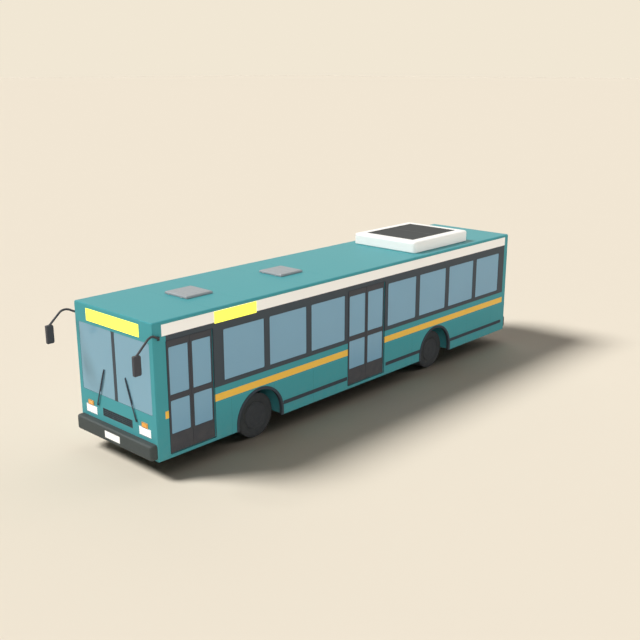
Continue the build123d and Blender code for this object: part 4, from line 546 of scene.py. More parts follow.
# ---------------------------------------------------------------- pieces
def add_object(name, mesh):
    made = bpy.data.objects.new(name, mesh)
    bpy.context.scene.collection.objects.link(made)
    return made


def dress(piece, body, stands_for=()):
    """Hangs a finished piece on its body."""
    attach(piece, body)
    if stands_for:
        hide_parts(*stands_for)
    return piece


def baked(seed):
    """Plain mesh of an object with its modifiers."""
    return bpy.data.meshes.new_from_object(seed.evaluated_get(bpy.context.evaluated_depsgraph_get()))


def grow(name, body, look, tree_name, points, values, edges=(), turns=None):
    """Piece that a geometry tree grows on points or edges, in the finish of its look."""
    base = bpy.data.meshes.new(name)
    base.from_pydata([tuple(p) for p in points], edges, [])
    if turns is not None:
        attribute = base.attributes.new("turn", "FLOAT_VECTOR", "POINT")
        attribute.data.foreach_set("vector", np.array(turns, np.float32).ravel())
    seed = add_object(name + "_seed", base)
    modifier = seed.modifiers.new("Grow", "NODES")
    modifier.node_group = group_tree(tree_name)
    sockets = {s.name: s.identifier for s in modifier.node_group.interface.items_tree if s.in_out == "INPUT"}
    for label, value in {**values, "Material": FINISHES[look]}.items():
        modifier[sockets[label]] = value
    mesh = baked(seed)
    bpy.data.objects.remove(seed)
    mesh.name = name
    if "turn" in mesh.attributes:
        mesh.attributes.remove(mesh.attributes["turn"])
    return dress(add_object(name, mesh), body)


def outline(name, body, loops, radius, width, height, look="rubber_trim", steps=5):
    """Rounded strips along closed loops."""
    points, edges = joined(loops)
    return grow(name, body, look, "Rubber Outline", points, {
        "Corner Radius": radius, "Width": width, "Height": height, "Corner Steps": steps}, edges)


def solid(name, body, look, work, stands_for=(), crease=None):
    """Piece from a bmesh, smooth up to its crease angle if it has one."""
    bmesh.ops.recalc_face_normals(work, faces=work.faces)
    mesh = bpy.data.meshes.new(name)
    work.to_mesh(mesh)
    work.free()
    mesh.materials.append(FINISHES[look])
    mesh.polygons.foreach_set("use_smooth", [crease is not None] * len(mesh.polygons))
    if crease is not None:
        mesh.set_sharp_from_angle(angle=math.radians(crease))
    return dress(add_object(name, mesh), body, stands_for)


def add_block(work, low, high, bevel=0.0, segments=1):
    """Bevelled block between two corners, added to a bmesh."""
    low, high = Vector(low), Vector(high)
    size, centre = high - low, (low + high) / 2
    made = bmesh.ops.create_cube(work, size=1.0, matrix=Matrix.Translation(centre))
    for vertex in made["verts"]:
        vertex.co = centre + (vertex.co - centre) * size
    if bevel:
        edges = list(dict.fromkeys(edge for vertex in made["verts"] for edge in vertex.link_edges))
        bmesh.ops.bevel(work, geom=edges, offset=bevel, segments=segments, affect="EDGES", profile=0.5)


def add_walls(work, first, second):
    """Faces between two rings of vertices."""
    for i in range(len(first)):
        k = (i + 1) % len(first)
        work.faces.new((first[i], first[k], second[k], second[i]))


def add_ring(work, profile, centre, segments):
    """Closed profile of (side, radius) points turned about an axle along Y."""
    loops = []
    for i in range(segments):
        x, z = on_circle(i, segments)
        loops.append([work.verts.new((centre.x + r * x, centre.y + y, centre.z + r * z)) for y, r in profile])
    for loop, following in zip(loops, loops[1:] + loops[:1]):
        add_walls(work, loop, following)


def add_disc(work, profile, place, segments):
    """Profile of (radius, height) points, from the axis out and back, turned about local Z."""
    loops = [[work.verts.new(place @ Vector((*(radius * part for part in on_circle(i, segments)), height)))
              for i in range(segments if radius else 1)] for radius, height in profile]
    for first, second in zip(loops, loops[1:]):
        for i in range(segments):
            k = (i + 1) % segments
            corners = [first[i % len(first)], first[k % len(first)], second[k % len(second)], second[i % len(second)]]
            corners = list(dict.fromkeys(corners))
            if len(corners) > 2:
                work.faces.new(corners)


def on_circle(i, number):
    angle = math.tau * i / number
    return math.cos(angle), math.sin(angle)


def solids_of(name):
    """(lowest, highest) corner of each separate solid in a CAD node."""
    work = bmesh.new()
    work.from_mesh(NODES[name].data)
    bmesh.ops.remove_doubles(work, verts=work.verts, dist=1e-5)
    found, seen = [], set()
    for start in work.verts:
        if start in seen:
            continue
        island, waiting = [], [start]
        seen.add(start)
        while waiting:
            vertex = waiting.pop()
            island.append(vertex.co.copy())
            for other in (edge.other_vert(vertex) for edge in vertex.link_edges):
                if other not in seen:
                    seen.add(other)
                    waiting.append(other)
        found.append((Vector(map(min, zip(*island))), Vector(map(max, zip(*island)))))
    work.free()
    return sorted(found, key=lambda box: (-box[1].x, box[0].y, box[0].z))


def touch(name, start, way):
    """First point of a CAD node's surface that a ray meets."""
    mesh = NODES[name].data
    skin = BVHTree.FromPolygons([v.co for v in mesh.vertices], [list(p.vertices) for p in mesh.polygons])
    hit = skin.ray_cast(Vector(start), Vector(way))[0]
    if hit is None:
        raise RuntimeError(f"no surface found on {name}")
    return hit


def tilted(degrees, points):
    """The same tilt about Y for every point."""
    return [(0.0, math.radians(degrees), 0.0)] * len(points)


def rectangle(low, high, axis, level):
    """Four corners of a box's outline, square to an axis at one level."""
    a, b = [i for i in range(3) if i != axis]
    corners = []
    for first, second in ((low[a], low[b]), (high[a], low[b]), (high[a], high[b]), (low[a], high[b])):
        point = [0.0, 0.0, 0.0]
        point[a], point[b], point[axis] = first, second, level
        corners.append(Vector(point))
    return corners


def joined(loops):
    """Points and edges of closed loops."""
    points, edges = [], []
    for loop in loops:
        start = len(points)
        points += loop
        edges += [(start + i, start + (i + 1) % len(loop)) for i in range(len(loop))]
    return points, edges


# ---------------------------------------------------------------- operators
class BusOperator(bpy.types.Operator):
    """Common ground of the bus's operators"""

    bl_options = {"REGISTER", "UNDO"}


class BUS_OT_finishes(BusOperator):
    """Make the finishes and put them on the CAD solids"""

    bl_idname = "bus.finishes"
    bl_label = "Paint and Finishes"

    def execute(self, context):
        FINISHES.update(make_finishes(context.scene))
        for part in frame["record"]["subparts"]:
            materials = NODES[part["node"]].data.materials
            materials.clear()
            materials.append(FINISHES[VARIANTS.get(part["node"], part["material_slot"])])
        return {"FINISHED"}


class BUS_OT_glazing(BusOperator):
    """Put a rubber gasket round every pane"""

    bl_idname = "bus.glazing"
    bl_label = "Window Gaskets"

    def execute(self, context):
        settings = context.scene.bus_glass
        widths = {"cabin_windows": settings.gasket_width, "windscreen": settings.screen_gasket}
        widths.update({leaf + "_glass": settings.gasket_width for leaf in LEAVES})
        for name, width in widths.items():
            loops = []
            for low, high in solids_of(name):
                axis = min(range(3), key=lambda i: (high - low)[i])
                outer = high if (low + high)[axis] > 0 else low
                loops.append(rectangle(low, high, axis, outer[axis]))
            outline(name + "_gaskets", BODY_OF_NODE[name], loops, settings.corner_radius, width,
                    min(settings.gasket_height, width))
        return {"FINISHED"}


class BUS_OT_tyres(BusOperator):
    """Make the tyres: carcass, sidewall rings and tread blocks"""

    bl_idname = "bus.tyres"
    bl_label = "Tyres"

    # Half section of the carcass: distance from the middle, radius
    SIDEWALL = ((0.104, 0.2865), (0.118, 0.300), (0.127, 0.330), (0.1365, 0.382), (0.1355, 0.420), (0.128, 0.448),
                (0.118, 0.464))
    LINER = ((0.098, 0.300), (0.110, 0.340), (0.118, 0.385), (0.110, 0.435), (0.090, 0.450))
    TREAD_EDGE = 0.113
    # Raised ring on each sidewall: distance from the middle, half width, outer and inner radius
    RING = (0.1295, 0.006, 0.3520, 0.3470)
    # Tread ribs: distance from the middle, width
    RIBS = ((-0.0915, 0.046), (-0.0445, 0.036), (0.0, 0.034), (0.0445, 0.036), (0.0915, 0.046))
    BLOCK_TAPER = 0.06
    BLOCK_SINK = 0.0006
    CREASE = 35

    def carcass(self, work, centre, tread, segments):
        half = [*self.SIDEWALL, (self.TREAD_EDGE, tread)]
        outside = [(-y, r) for y, r in half] + half[::-1]
        inside = [*self.LINER] + [(-y, r) for y, r in reversed(self.LINER)]
        add_ring(work, outside + inside, centre, segments)
        side, half_width, outer, inner = self.RING
        for y in (-side, side):
            a, b = y - half_width, y + half_width
            add_ring(work, [(a, outer), (a, inner), (b, inner), (b, outer)], centre, segments)

    def execute(self, context):
        settings = context.scene.bus_tyres
        for name in TYRES:
            work = bmesh.new()
            ribs = {}
            for low, high in solids_of(name):
                centre, radius = (low + high) / 2, (high.z - low.z) / 2
                self.carcass(work, centre, radius - settings.groove_depth, settings.segments)
                reach = radius - self.BLOCK_SINK - settings.groove_depth / 2
                for rib, (side, width) in enumerate(self.RIBS):
                    points, turns = ribs.setdefault(width, ([], []))
                    for i in range(settings.blocks):
                        angle = math.tau * (i + 0.5 * (rib % 2)) / settings.blocks
                        points.append(centre + Vector((reach * math.sin(angle), side, reach * math.cos(angle))))
                        turns.append((0.0, angle, 0.0))
            body = BODY_OF_NODE[name]
            solid(name + "_carcass", body, "tyre_black", work, (name,), self.CREASE)
            pitch = math.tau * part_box(name)[1].z / 2 / settings.blocks
            for group, (width, (points, turns)) in enumerate(sorted(ribs.items())):
                grow(f"{name}_tread_{group}", body, "tyre_black", "Tapered Blocks", points, {
                    "Length": pitch * (1 - settings.block_gap), "Width": width, "Height": settings.groove_depth,
                    "Taper": self.BLOCK_TAPER}, turns=turns)
        return {"FINISHED"}


class BUS_OT_wheel_nuts(BusOperator):
    """Put nuts round the discs of the wheels"""

    bl_idname = "bus.wheel_nuts"
    bl_label = "Wheel Nuts"

    FLATS = 6
    # How far outside the wheel a nut's place is looked for
    REACH = 2.0

    def execute(self, context):
        settings = context.scene.bus_trim
        for name in RIMS:
            low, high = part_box(name)
            centre = (low + high) / 2
            out = 1 if centre.y > 0 else -1
            points = []
            for i in range(settings.nuts):
                x, z = on_circle(i + 0.5, settings.nuts)
                start = Vector((settings.nut_circle * x, self.REACH * out, settings.nut_circle * z)) + centre
                points.append(touch(name, start, (0, -out, 0)))
            grow(name + "_nuts", BODY_OF_NODE[name], "steel", "Fasteners", points, {
                "Radius": settings.nut_radius, "Height": settings.nut_height, "Flats": self.FLATS},
                turns=[(-out * QUARTER, 0.0, 0.0)] * settings.nuts)
        return {"FINISHED"}


class BUS_OT_wheel_covers(BusOperator):
    """Close the outer wheels with pressed covers"""

    bl_idname = "bus.wheel_covers"
    bl_label = "Wheel Covers"

    # Turned section: radius, distance out from the cover's seat
    SECTION = ((0.0, 0.006), (0.060, 0.006), (0.066, 0.002), (0.150, 0.000), (0.180, 0.004), (0.196, 0.004),
               (0.204, -0.001), (0.262, -0.001), (0.270, 0.004), (0.281, 0.002), (0.285, -0.006), (0.262, -0.009),
               (0.0, -0.004))
    SEGMENTS = 72
    CREASE = 32
    CLIP_CIRCLE = 0.232
    CLIP_HEIGHT = -0.002
    CLIP_SIDES = 12

    def execute(self, context):
        settings = context.scene.bus_trim
        for name in TYRES:
            low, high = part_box(name)
            out = 1 if (low + high).y > 0 else -1
            face = high.y if out > 0 else low.y
            seat = Vector(((low.x + high.x) / 2, face - out * settings.cover_inset, (low.z + high.z) / 2))
            place = Matrix.Translation(seat) @ Matrix.Rotation(-out * QUARTER, 4, "X")
            work = bmesh.new()
            add_disc(work, self.SECTION, place, self.SEGMENTS)
            body = BODY_OF_NODE[name]
            solid(name + "_cover", body, "cover_grey", work, crease=self.CREASE)
            clips = [place @ Vector((*(self.CLIP_CIRCLE * part for part in on_circle(i, settings.cover_clips)),
                                     self.CLIP_HEIGHT)) for i in range(settings.cover_clips)]
            grow(name + "_cover_clips", body, "cover_grey", "Fasteners", clips, {
                "Radius": settings.screw_radius, "Height": settings.screw_height, "Flats": self.CLIP_SIDES},
                turns=[(-out * QUARTER, 0.0, 0.0)] * len(clips))
        return {"FINISHED"}


class BUS_OT_lamps(BusOperator):
    """Frame the lamps with bezels"""

    bl_idname = "bus.lamps"
    bl_label = "Lamp Bezels"

    INSET = Vector((0, 0.004, 0.004))
    SINK = 0.003
    # Strip: corner radius, width, height
    BEZEL = (0.012, 0.008, 0.006)
    CORNER_STEPS = 4

    def execute(self, context):
        for name in ("headlamps", "turn_indicators", "tail_lamps"):
            loops = []
            for low, high in solids_of(name):
                level = high.x - self.SINK if (low + high).x > 0 else low.x + self.SINK
                loops.append(rectangle(low + self.INSET, high - self.INSET, 0, level))
            outline(name + "_bezels", "body", loops, *self.BEZEL, "matte_black", self.CORNER_STEPS)
        return {"FINISHED"}


class BUS_OT_wipers(BusOperator):
    """Make the wipers: cap, tapered arm, bow and rubber blade"""

    bl_idname = "bus.wipers"
    bl_label = "Wipers"

    BLADE = 0.528
    TIP_INSET = (0.013, 0.005)
    CAP = ((0, 0.0), (0.020, 0.0), (0.020, 0.022), (0.016, 0.027), (0, 0.027))
    CAP_SINK = 0.021
    CAP_SEGMENTS = 20

    def execute(self, context):
        for side, sign in SIDES.items():
            name = f"wiper_{side}"
            low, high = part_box(name)
            foot = Vector(JOINTS[f"{name}_sweep"]["pos_m"])
            inner = low.y if sign > 0 else high.y
            tip = Vector((foot.x, inner + sign * self.TIP_INSET[0], high.z - self.TIP_INSET[1]))
            along = (tip - foot).normalized()
            across = Vector((0, -along.z, along.y))
            span = (tip - foot).length
            start, middle = span - self.BLADE, span - self.BLADE / 2
            work = bmesh.new()
            # Half thickness and (distance, half width, offset ahead) stations of arm, bow and blade
            for thick, stations in (
                (0.004, ((-0.02, 0.017, 0.0), (0.10, 0.017, 0.0), (0.16, 0.014, 0.0), (middle + 0.03, 0.012, 0.002))),
                (0.003, ((start + 0.01, 0.010, -0.004), (middle - 0.10, 0.014, 0.001),
                         (middle + 0.10, 0.014, 0.001), (span - 0.01, 0.010, -0.004))),
                (0.0065, ((start, 0.007, -0.013), (span, 0.007, -0.013))),
            ):
                rings = []
                for distance, half, lift in stations:
                    base = foot + along * distance + AHEAD * lift
                    rings.append([work.verts.new(base + across * half * a + AHEAD * thick * b)
                                  for a, b in ((-1, -1), (1, -1), (1, 1), (-1, 1))])
                for first, second in zip(rings, rings[1:]):
                    add_walls(work, first, second)
                work.faces.new(rings[0][::-1])
                work.faces.new(rings[-1])
            turn = Matrix.Translation(foot - AHEAD * self.CAP_SINK) @ Matrix.Rotation(QUARTER, 4, "Y")
            add_disc(work, self.CAP, turn, self.CAP_SEGMENTS)
            solid(f"{name}_arm_and_blade", f"{name}_body", "rubber_trim", work, (name,))
        return {"FINISHED"}


class BUS_OT_mirrors(BusOperator):
    """Set the glass in the exterior mirrors"""

    bl_idname = "bus.mirrors"
    bl_label = "Mirror Glass"

    HEAD_HEIGHT = 0.375
    HEAD_INSET = 0.0425
    # Half width and half height of the glass and of its rim
    GLASS = Vector((0, 0.032, 0.165))
    RIM = Vector((0, 0.035, 0.168))
    # How far the glass stands out of the head and reaches into it
    OUT, INTO = 0.002, 0.004
    GLASS_BEVEL = 0.0015
    # Strip of the rim: corner radius, width, height
    STRIP = (0.014, 0.008, 0.006)
    # How far ahead of the bus the heads' rear faces are looked for
    REACH = 0.2

    def execute(self, context):
        for side, sign in SIDES.items():
            name, body = f"exterior_mirror_{side}", f"mirror_{side}_body"
            low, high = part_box(name)
            across = (high.y if sign > 0 else low.y) - sign * self.HEAD_INSET
            level = low.z + self.HEAD_HEIGHT / 2
            face = touch(name, (FRONT_FACE + self.REACH, across, level), AHEAD).x
            centre = Vector((face, across, level))
            work = bmesh.new()
            add_block(work, centre - self.GLASS - AHEAD * self.OUT, centre + self.GLASS + AHEAD * self.INTO,
                      self.GLASS_BEVEL)
            solid(f"{name}_glass", body, "mirror_glass", work)
            loop = rectangle(centre - self.RIM, centre + self.RIM, 0, face - self.OUT / 2)
            outline(f"{name}_rim", body, [loop], *self.STRIP)
        return {"FINISHED"}


class BUS_OT_roof_unit(BusOperator):
    """Lay slats over the roof unit's grille, in a frame"""

    bl_idname = "bus.roof_unit"
    bl_label = "Roof Unit"

    RIM = 0.045
    BAR_HALF = 0.02
    BAR_DEPTH = 0.020
    BAR_BEVEL = 0.003
    TRAY_DEPTH = 0.016
    SLAT_DEPTH = 0.0095
    SLAT_HEIGHT = 0.003
    SLAT_SHARE = 0.62
    SLAT_TAPER = 0.02
    SLAT_TURN = 28

    def execute(self, context):
        settings = context.scene.bus_trim
        low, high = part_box("aircon_panel")
        rim, middle = self.RIM, (low + high) / 2
        work = bmesh.new()
        add_block(work, low, high - Vector((0, 0, self.TRAY_DEPTH)))
        for x0, x1, y0, y1 in ((low.x, high.x, low.y, low.y + rim), (low.x, high.x, high.y - rim, high.y),
                               (low.x, low.x + rim, low.y, high.y), (high.x - rim, high.x, low.y, high.y),
                               (middle.x - self.BAR_HALF, middle.x + self.BAR_HALF, low.y, high.y)):
            add_block(work, (x0, y0, high.z - self.BAR_DEPTH), (x1, y1, high.z), self.BAR_BEVEL)
        solid("aircon_grille_frame", "body", "unit_dark", work, ("aircon_panel",))
        run = high.x - low.x - 2 * rim
        points = [(low.x + rim + run * (i + 0.5) / settings.slats, middle.y, high.z - self.SLAT_DEPTH)
                  for i in range(settings.slats)]
        grow("aircon_grille_slats", "body", "unit_dark", "Tapered Blocks", points, {
            "Length": run / settings.slats * self.SLAT_SHARE, "Width": high.y - low.y - 2 * rim,
            "Height": self.SLAT_HEIGHT, "Taper": self.SLAT_TAPER}, turns=tilted(self.SLAT_TURN, points))
        return {"FINISHED"}


class BUS_OT_hatches(BusOperator):
    """Give the roof hatches their seals and ribs"""

    bl_idname = "bus.hatches"
    bl_label = "Roof Hatches"

    LID = Vector((0.680, 0.696, 0))
    SEAL_INSET = Vector((0.010, 0.010, 0))
    # Strip of the seal: corner radius, width, height
    SEAL = (0.02, 0.012, 0.005)
    SEAL_LIFT, RIB_LIFT = 0.0025, 0.0015
    RIB_OFFSETS = (-0.26, 0.0, 0.26)
    RIB = {"Length": 0.085, "Width": 0.72 * 0.696, "Height": 0.005, "Taper": 0.12}

    def execute(self, context):
        loops = []
        for name in ("front_roof_hatch", "rear_roof_hatch"):
            low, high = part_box(name)
            centre = Vector((low.x + self.LID.x / 2, (low.y + high.y) / 2, 0))
            reach = self.LID / 2 - self.SEAL_INSET
            loops.append(rectangle(centre - reach, centre + reach, 2, ROOF_TOP + self.SEAL_LIFT))
            points = [(centre.x + offset * self.LID.x, centre.y, high.z + self.RIB_LIFT)
                      for offset in self.RIB_OFFSETS]
            grow(f"{name}_ribs", BODY_OF_NODE[name], "hatch_grey", "Tapered Blocks", points, self.RIB,
                 turns=tilted(0, points))
        outline("hatch_seals", "body", loops, *self.SEAL)
        return {"FINISHED"}


class BUS_OT_doors(BusOperator):
    """Line the door openings with rubber and the leaves with meeting and bottom seals"""

    bl_idname = "bus.doors"
    bl_label = "Door Seals"

    MARGIN = Vector((0.012, 0, 0.012))
    # Pins above and below a leaf
    PIN = Vector((0, 0, 0.028))
    # Strip of the surround: corner radius, width in gaskets' widths, height, how far it stands off the wall
    SURROUND = (0.02, 1.5, 0.006, 0.001)
    # Meeting seal: distance of its middle from the leaf's edge, half width; how far into and out of the leaf, bevel
    MEETING, MEETING_DEPTH = (0.005, 0.0075), (0.001, 0.003, 0.0018)
    # Bottom brush: height of its foot above the leaf's, its own height; how far into and out of the leaf, bevel
    BRUSH, BRUSH_DEPTH = (0.006, 0.022), (0.004, 0.002, 0.001)
    END_GAP = 0.01

    def leaf_box(self, leaf):
        """Box of a leaf without its pins."""
        low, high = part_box(leaf)
        return low + self.PIN, high - self.PIN

    def execute(self, context):
        radius, width, height, lift = self.SURROUND
        loops = []
        for opening in ("front_door", "middle_door"):
            boxes = [self.leaf_box(leaf) for leaf in LEAVES if leaf.startswith(opening)]
            low, high = [Vector(map(pick, *corners)) for pick, corners in zip((min, max), zip(*boxes))]
            loops.append(rectangle(low - self.MARGIN, high + self.MARGIN, 1, SIDE_FACE + lift))
        outline("door_surrounds", "body", loops, radius, width * context.scene.bus_glass.gasket_width, height)
        for leaf in LEAVES:
            low, high = self.leaf_box(leaf)
            gap = self.END_GAP
            work = bmesh.new()
            inset, half = self.MEETING
            into, out, bevel = self.MEETING_DEPTH
            x = high.x - inset if leaf.endswith("rear_leaf") else low.x + inset
            add_block(work, (x - half, high.y - into, low.z + gap), (x + half, high.y + out, high.z - gap), bevel, 2)
            foot = low.z + self.BRUSH[0]
            into, out, bevel = self.BRUSH_DEPTH
            add_block(work, (low.x + gap, high.y - into, foot),
                      (high.x - gap, high.y + out, foot + self.BRUSH[1]), bevel)
            solid(f"{leaf}_seal", f"{leaf}_body", "door_black", work)
        return {"FINISHED"}


class BUS_OT_front(BusOperator):
    """Detail the front: grille bars, plate screws and the sun blind"""

    bl_idname = "bus.front"
    bl_label = "Front Details"

    BARS = 5
    BAR_PITCH_WIDTH = 0.012
    # Bars, posts at the ends and ties between: half width, inset of the ends, rear and front from the face, bevel
    BAR = (0.0045, 0.004, -0.012, 0.004, 0.003)
    POST = (0.006, 0.0, -0.012, 0.003, 0.002)
    TIE = (0.005, 0.004, -0.016, -0.004, 0.001)
    TIES_AT = (1 / 3, 2 / 3)
    SCREW_SIDES = 12
    SCREW_DROP = 0.018
    SCREW_SINK = 0.003
    SCREWS_AT = (0.34, 0.66)
    # Blind on the driver's side: ends across and up, distance from the front face, thickness of its cloth
    BLIND = ((-0.86, -0.14), (2.50, 2.668), 0.030, 0.002)
    # Corners of its lower rail from the cloth's lower ends
    RAIL = (Vector((-0.008, -0.005, -0.012)), Vector((0.004, 0.005, 0.006)))
    RAIL_BEVEL = 0.003
    # Section of its roller: radius, distance from an end
    ROLLER = ((0, 0.0), (0.014, 0.0), (0.017, 0.004))
    ROLLER_SIDES = 16

    def grille_bars(self):
        low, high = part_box("grille")
        pitch = (high.z - low.z - self.BAR_PITCH_WIDTH) / (self.BARS - 1)
        face = high.x
        work = bmesh.new()
        half, inset, back, ahead, bevel = self.BAR
        for i in range(self.BARS):
            z = low.z + self.BAR_PITCH_WIDTH / 2 + pitch * i
            add_block(work, (face + back, low.y + inset, z - half), (face + ahead, high.y - inset, z + half), bevel, 2)
        ends = (low.y + self.POST[0], high.y - self.POST[0])
        ties = [low.y + (high.y - low.y) * part for part in self.TIES_AT]
        for places, (half, inset, back, ahead, bevel) in ((ends, self.POST), (ties, self.TIE)):
            for y in places:
                add_block(work, (face + back, y - half, low.z + inset), (face + ahead, y + half, high.z - inset), bevel)
        solid("grille_bars", "body", "grille_bar", work)

    def plate_screws(self, settings):
        points, turns = [], []
        for low, high in solids_of("number_plates"):
            ahead = 1 if (low + high).x > 0 else -1
            x = high.x - self.SCREW_SINK if ahead > 0 else low.x + settings.screw_height + 0.001
            for part in self.SCREWS_AT:
                points.append((x, low.y * (1 - part) + high.y * part, high.z - self.SCREW_DROP))
                turns.append((0.0, ahead * QUARTER, 0.0))
        grow("plate_screws", "body", "steel", "Fasteners", points, {
            "Radius": settings.screw_radius, "Height": settings.screw_height, "Flats": self.SCREW_SIDES}, turns=turns)

    def sun_blind(self):
        """Roller blind behind the windscreen, with its lower rail."""
        (y0, y1), (z0, z1), behind, thick = self.BLIND
        x, run = FRONT_FACE - behind, y1 - y0
        work = bmesh.new()
        add_block(work, (x - thick, y0, z0), (x, y1, z1), thick / 4)
        add_block(work, Vector((x, y0, z0)) + self.RAIL[0], Vector((x, y1, z0)) + self.RAIL[1], self.RAIL_BEVEL, 2)
        roller = [*self.ROLLER, *((radius, run - end) for radius, end in self.ROLLER[::-1])]
        turn = Matrix.Translation((x - self.ROLLER[1][0], y0, z1)) @ Matrix.Rotation(-QUARTER, 4, "X")
        add_disc(work, roller, turn, self.ROLLER_SIDES)
        solid("sun_blind", "body", "rubber_trim", work)

    def execute(self, context):
        self.grille_bars()
        self.plate_screws(context.scene.bus_trim)
        self.sun_blind()
        return {"FINISHED"}


class BUS_OT_rear(BusOperator):
    """Detail the rear: louvres and latches of the engine door"""

    bl_idname = "bus.rear"
    bl_label = "Rear Details"

    FIELD_TOP = 0.60
    FIELD_MARGIN = 0.13
    COLUMN_SHARE = 0.47
    LOUVRE = {"Length": 0.030, "Width": 0.62, "Height": 0.006, "Taper": 0.05}
    LOUVRE_TURN = -115
    LOUVRE_OUT = 0.003
    # Turned section of a latch: radius, distance out of the wall
    LATCH = ((0, -0.002), (0.026, -0.002), (0.026, 0.003), (0.021, 0.006), (0.012, 0.004), (0, 0.004))
    LATCH_SIDES = 24
    # Distance of a latch from the door's side and above its foot
    LATCH_PLACE = (0.10, 0.055)
    # Grip across a latch: from and to out of the wall, half width, half height, bevel
    GRIP = (0.003, 0.010, 0.017, 0.004, 0.0015)

    def execute(self, context):
        settings = context.scene.bus_trim
        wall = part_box("rear_panel")[0].x
        low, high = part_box("engine_door")
        body = BODY_OF_NODE["engine_door"]
        points = []
        for side in (-0.5, 0.5):
            y = (low.y + high.y) / 2 + side * (high.y - low.y) * self.COLUMN_SHARE
            for i in range(settings.louvres):
                up = (self.FIELD_TOP - 2 * self.FIELD_MARGIN) * i / (settings.louvres - 1)
                points.append((wall - self.LOUVRE_OUT, y, low.z + self.FIELD_MARGIN + up))
        grow("engine_door_louvres", body, "unit_dark", "Tapered Blocks", points, self.LOUVRE,
             turns=tilted(self.LOUVRE_TURN, points))
        work = bmesh.new()
        inset, level = self.LATCH_PLACE[0], low.z + self.LATCH_PLACE[1]
        inner, outer, half, rise, bevel = self.GRIP
        for y in (low.y + inset, high.y - inset):
            place = Matrix.Translation((wall, y, level)) @ Matrix.Rotation(-QUARTER, 4, "Y")
            add_disc(work, self.LATCH, place, self.LATCH_SIDES)
            add_block(work, (wall - outer, y - half, level - rise), (wall - inner, y + half, level + rise), bevel)
        solid("engine_door_latches", body, "steel", work)
        return {"FINISHED"}


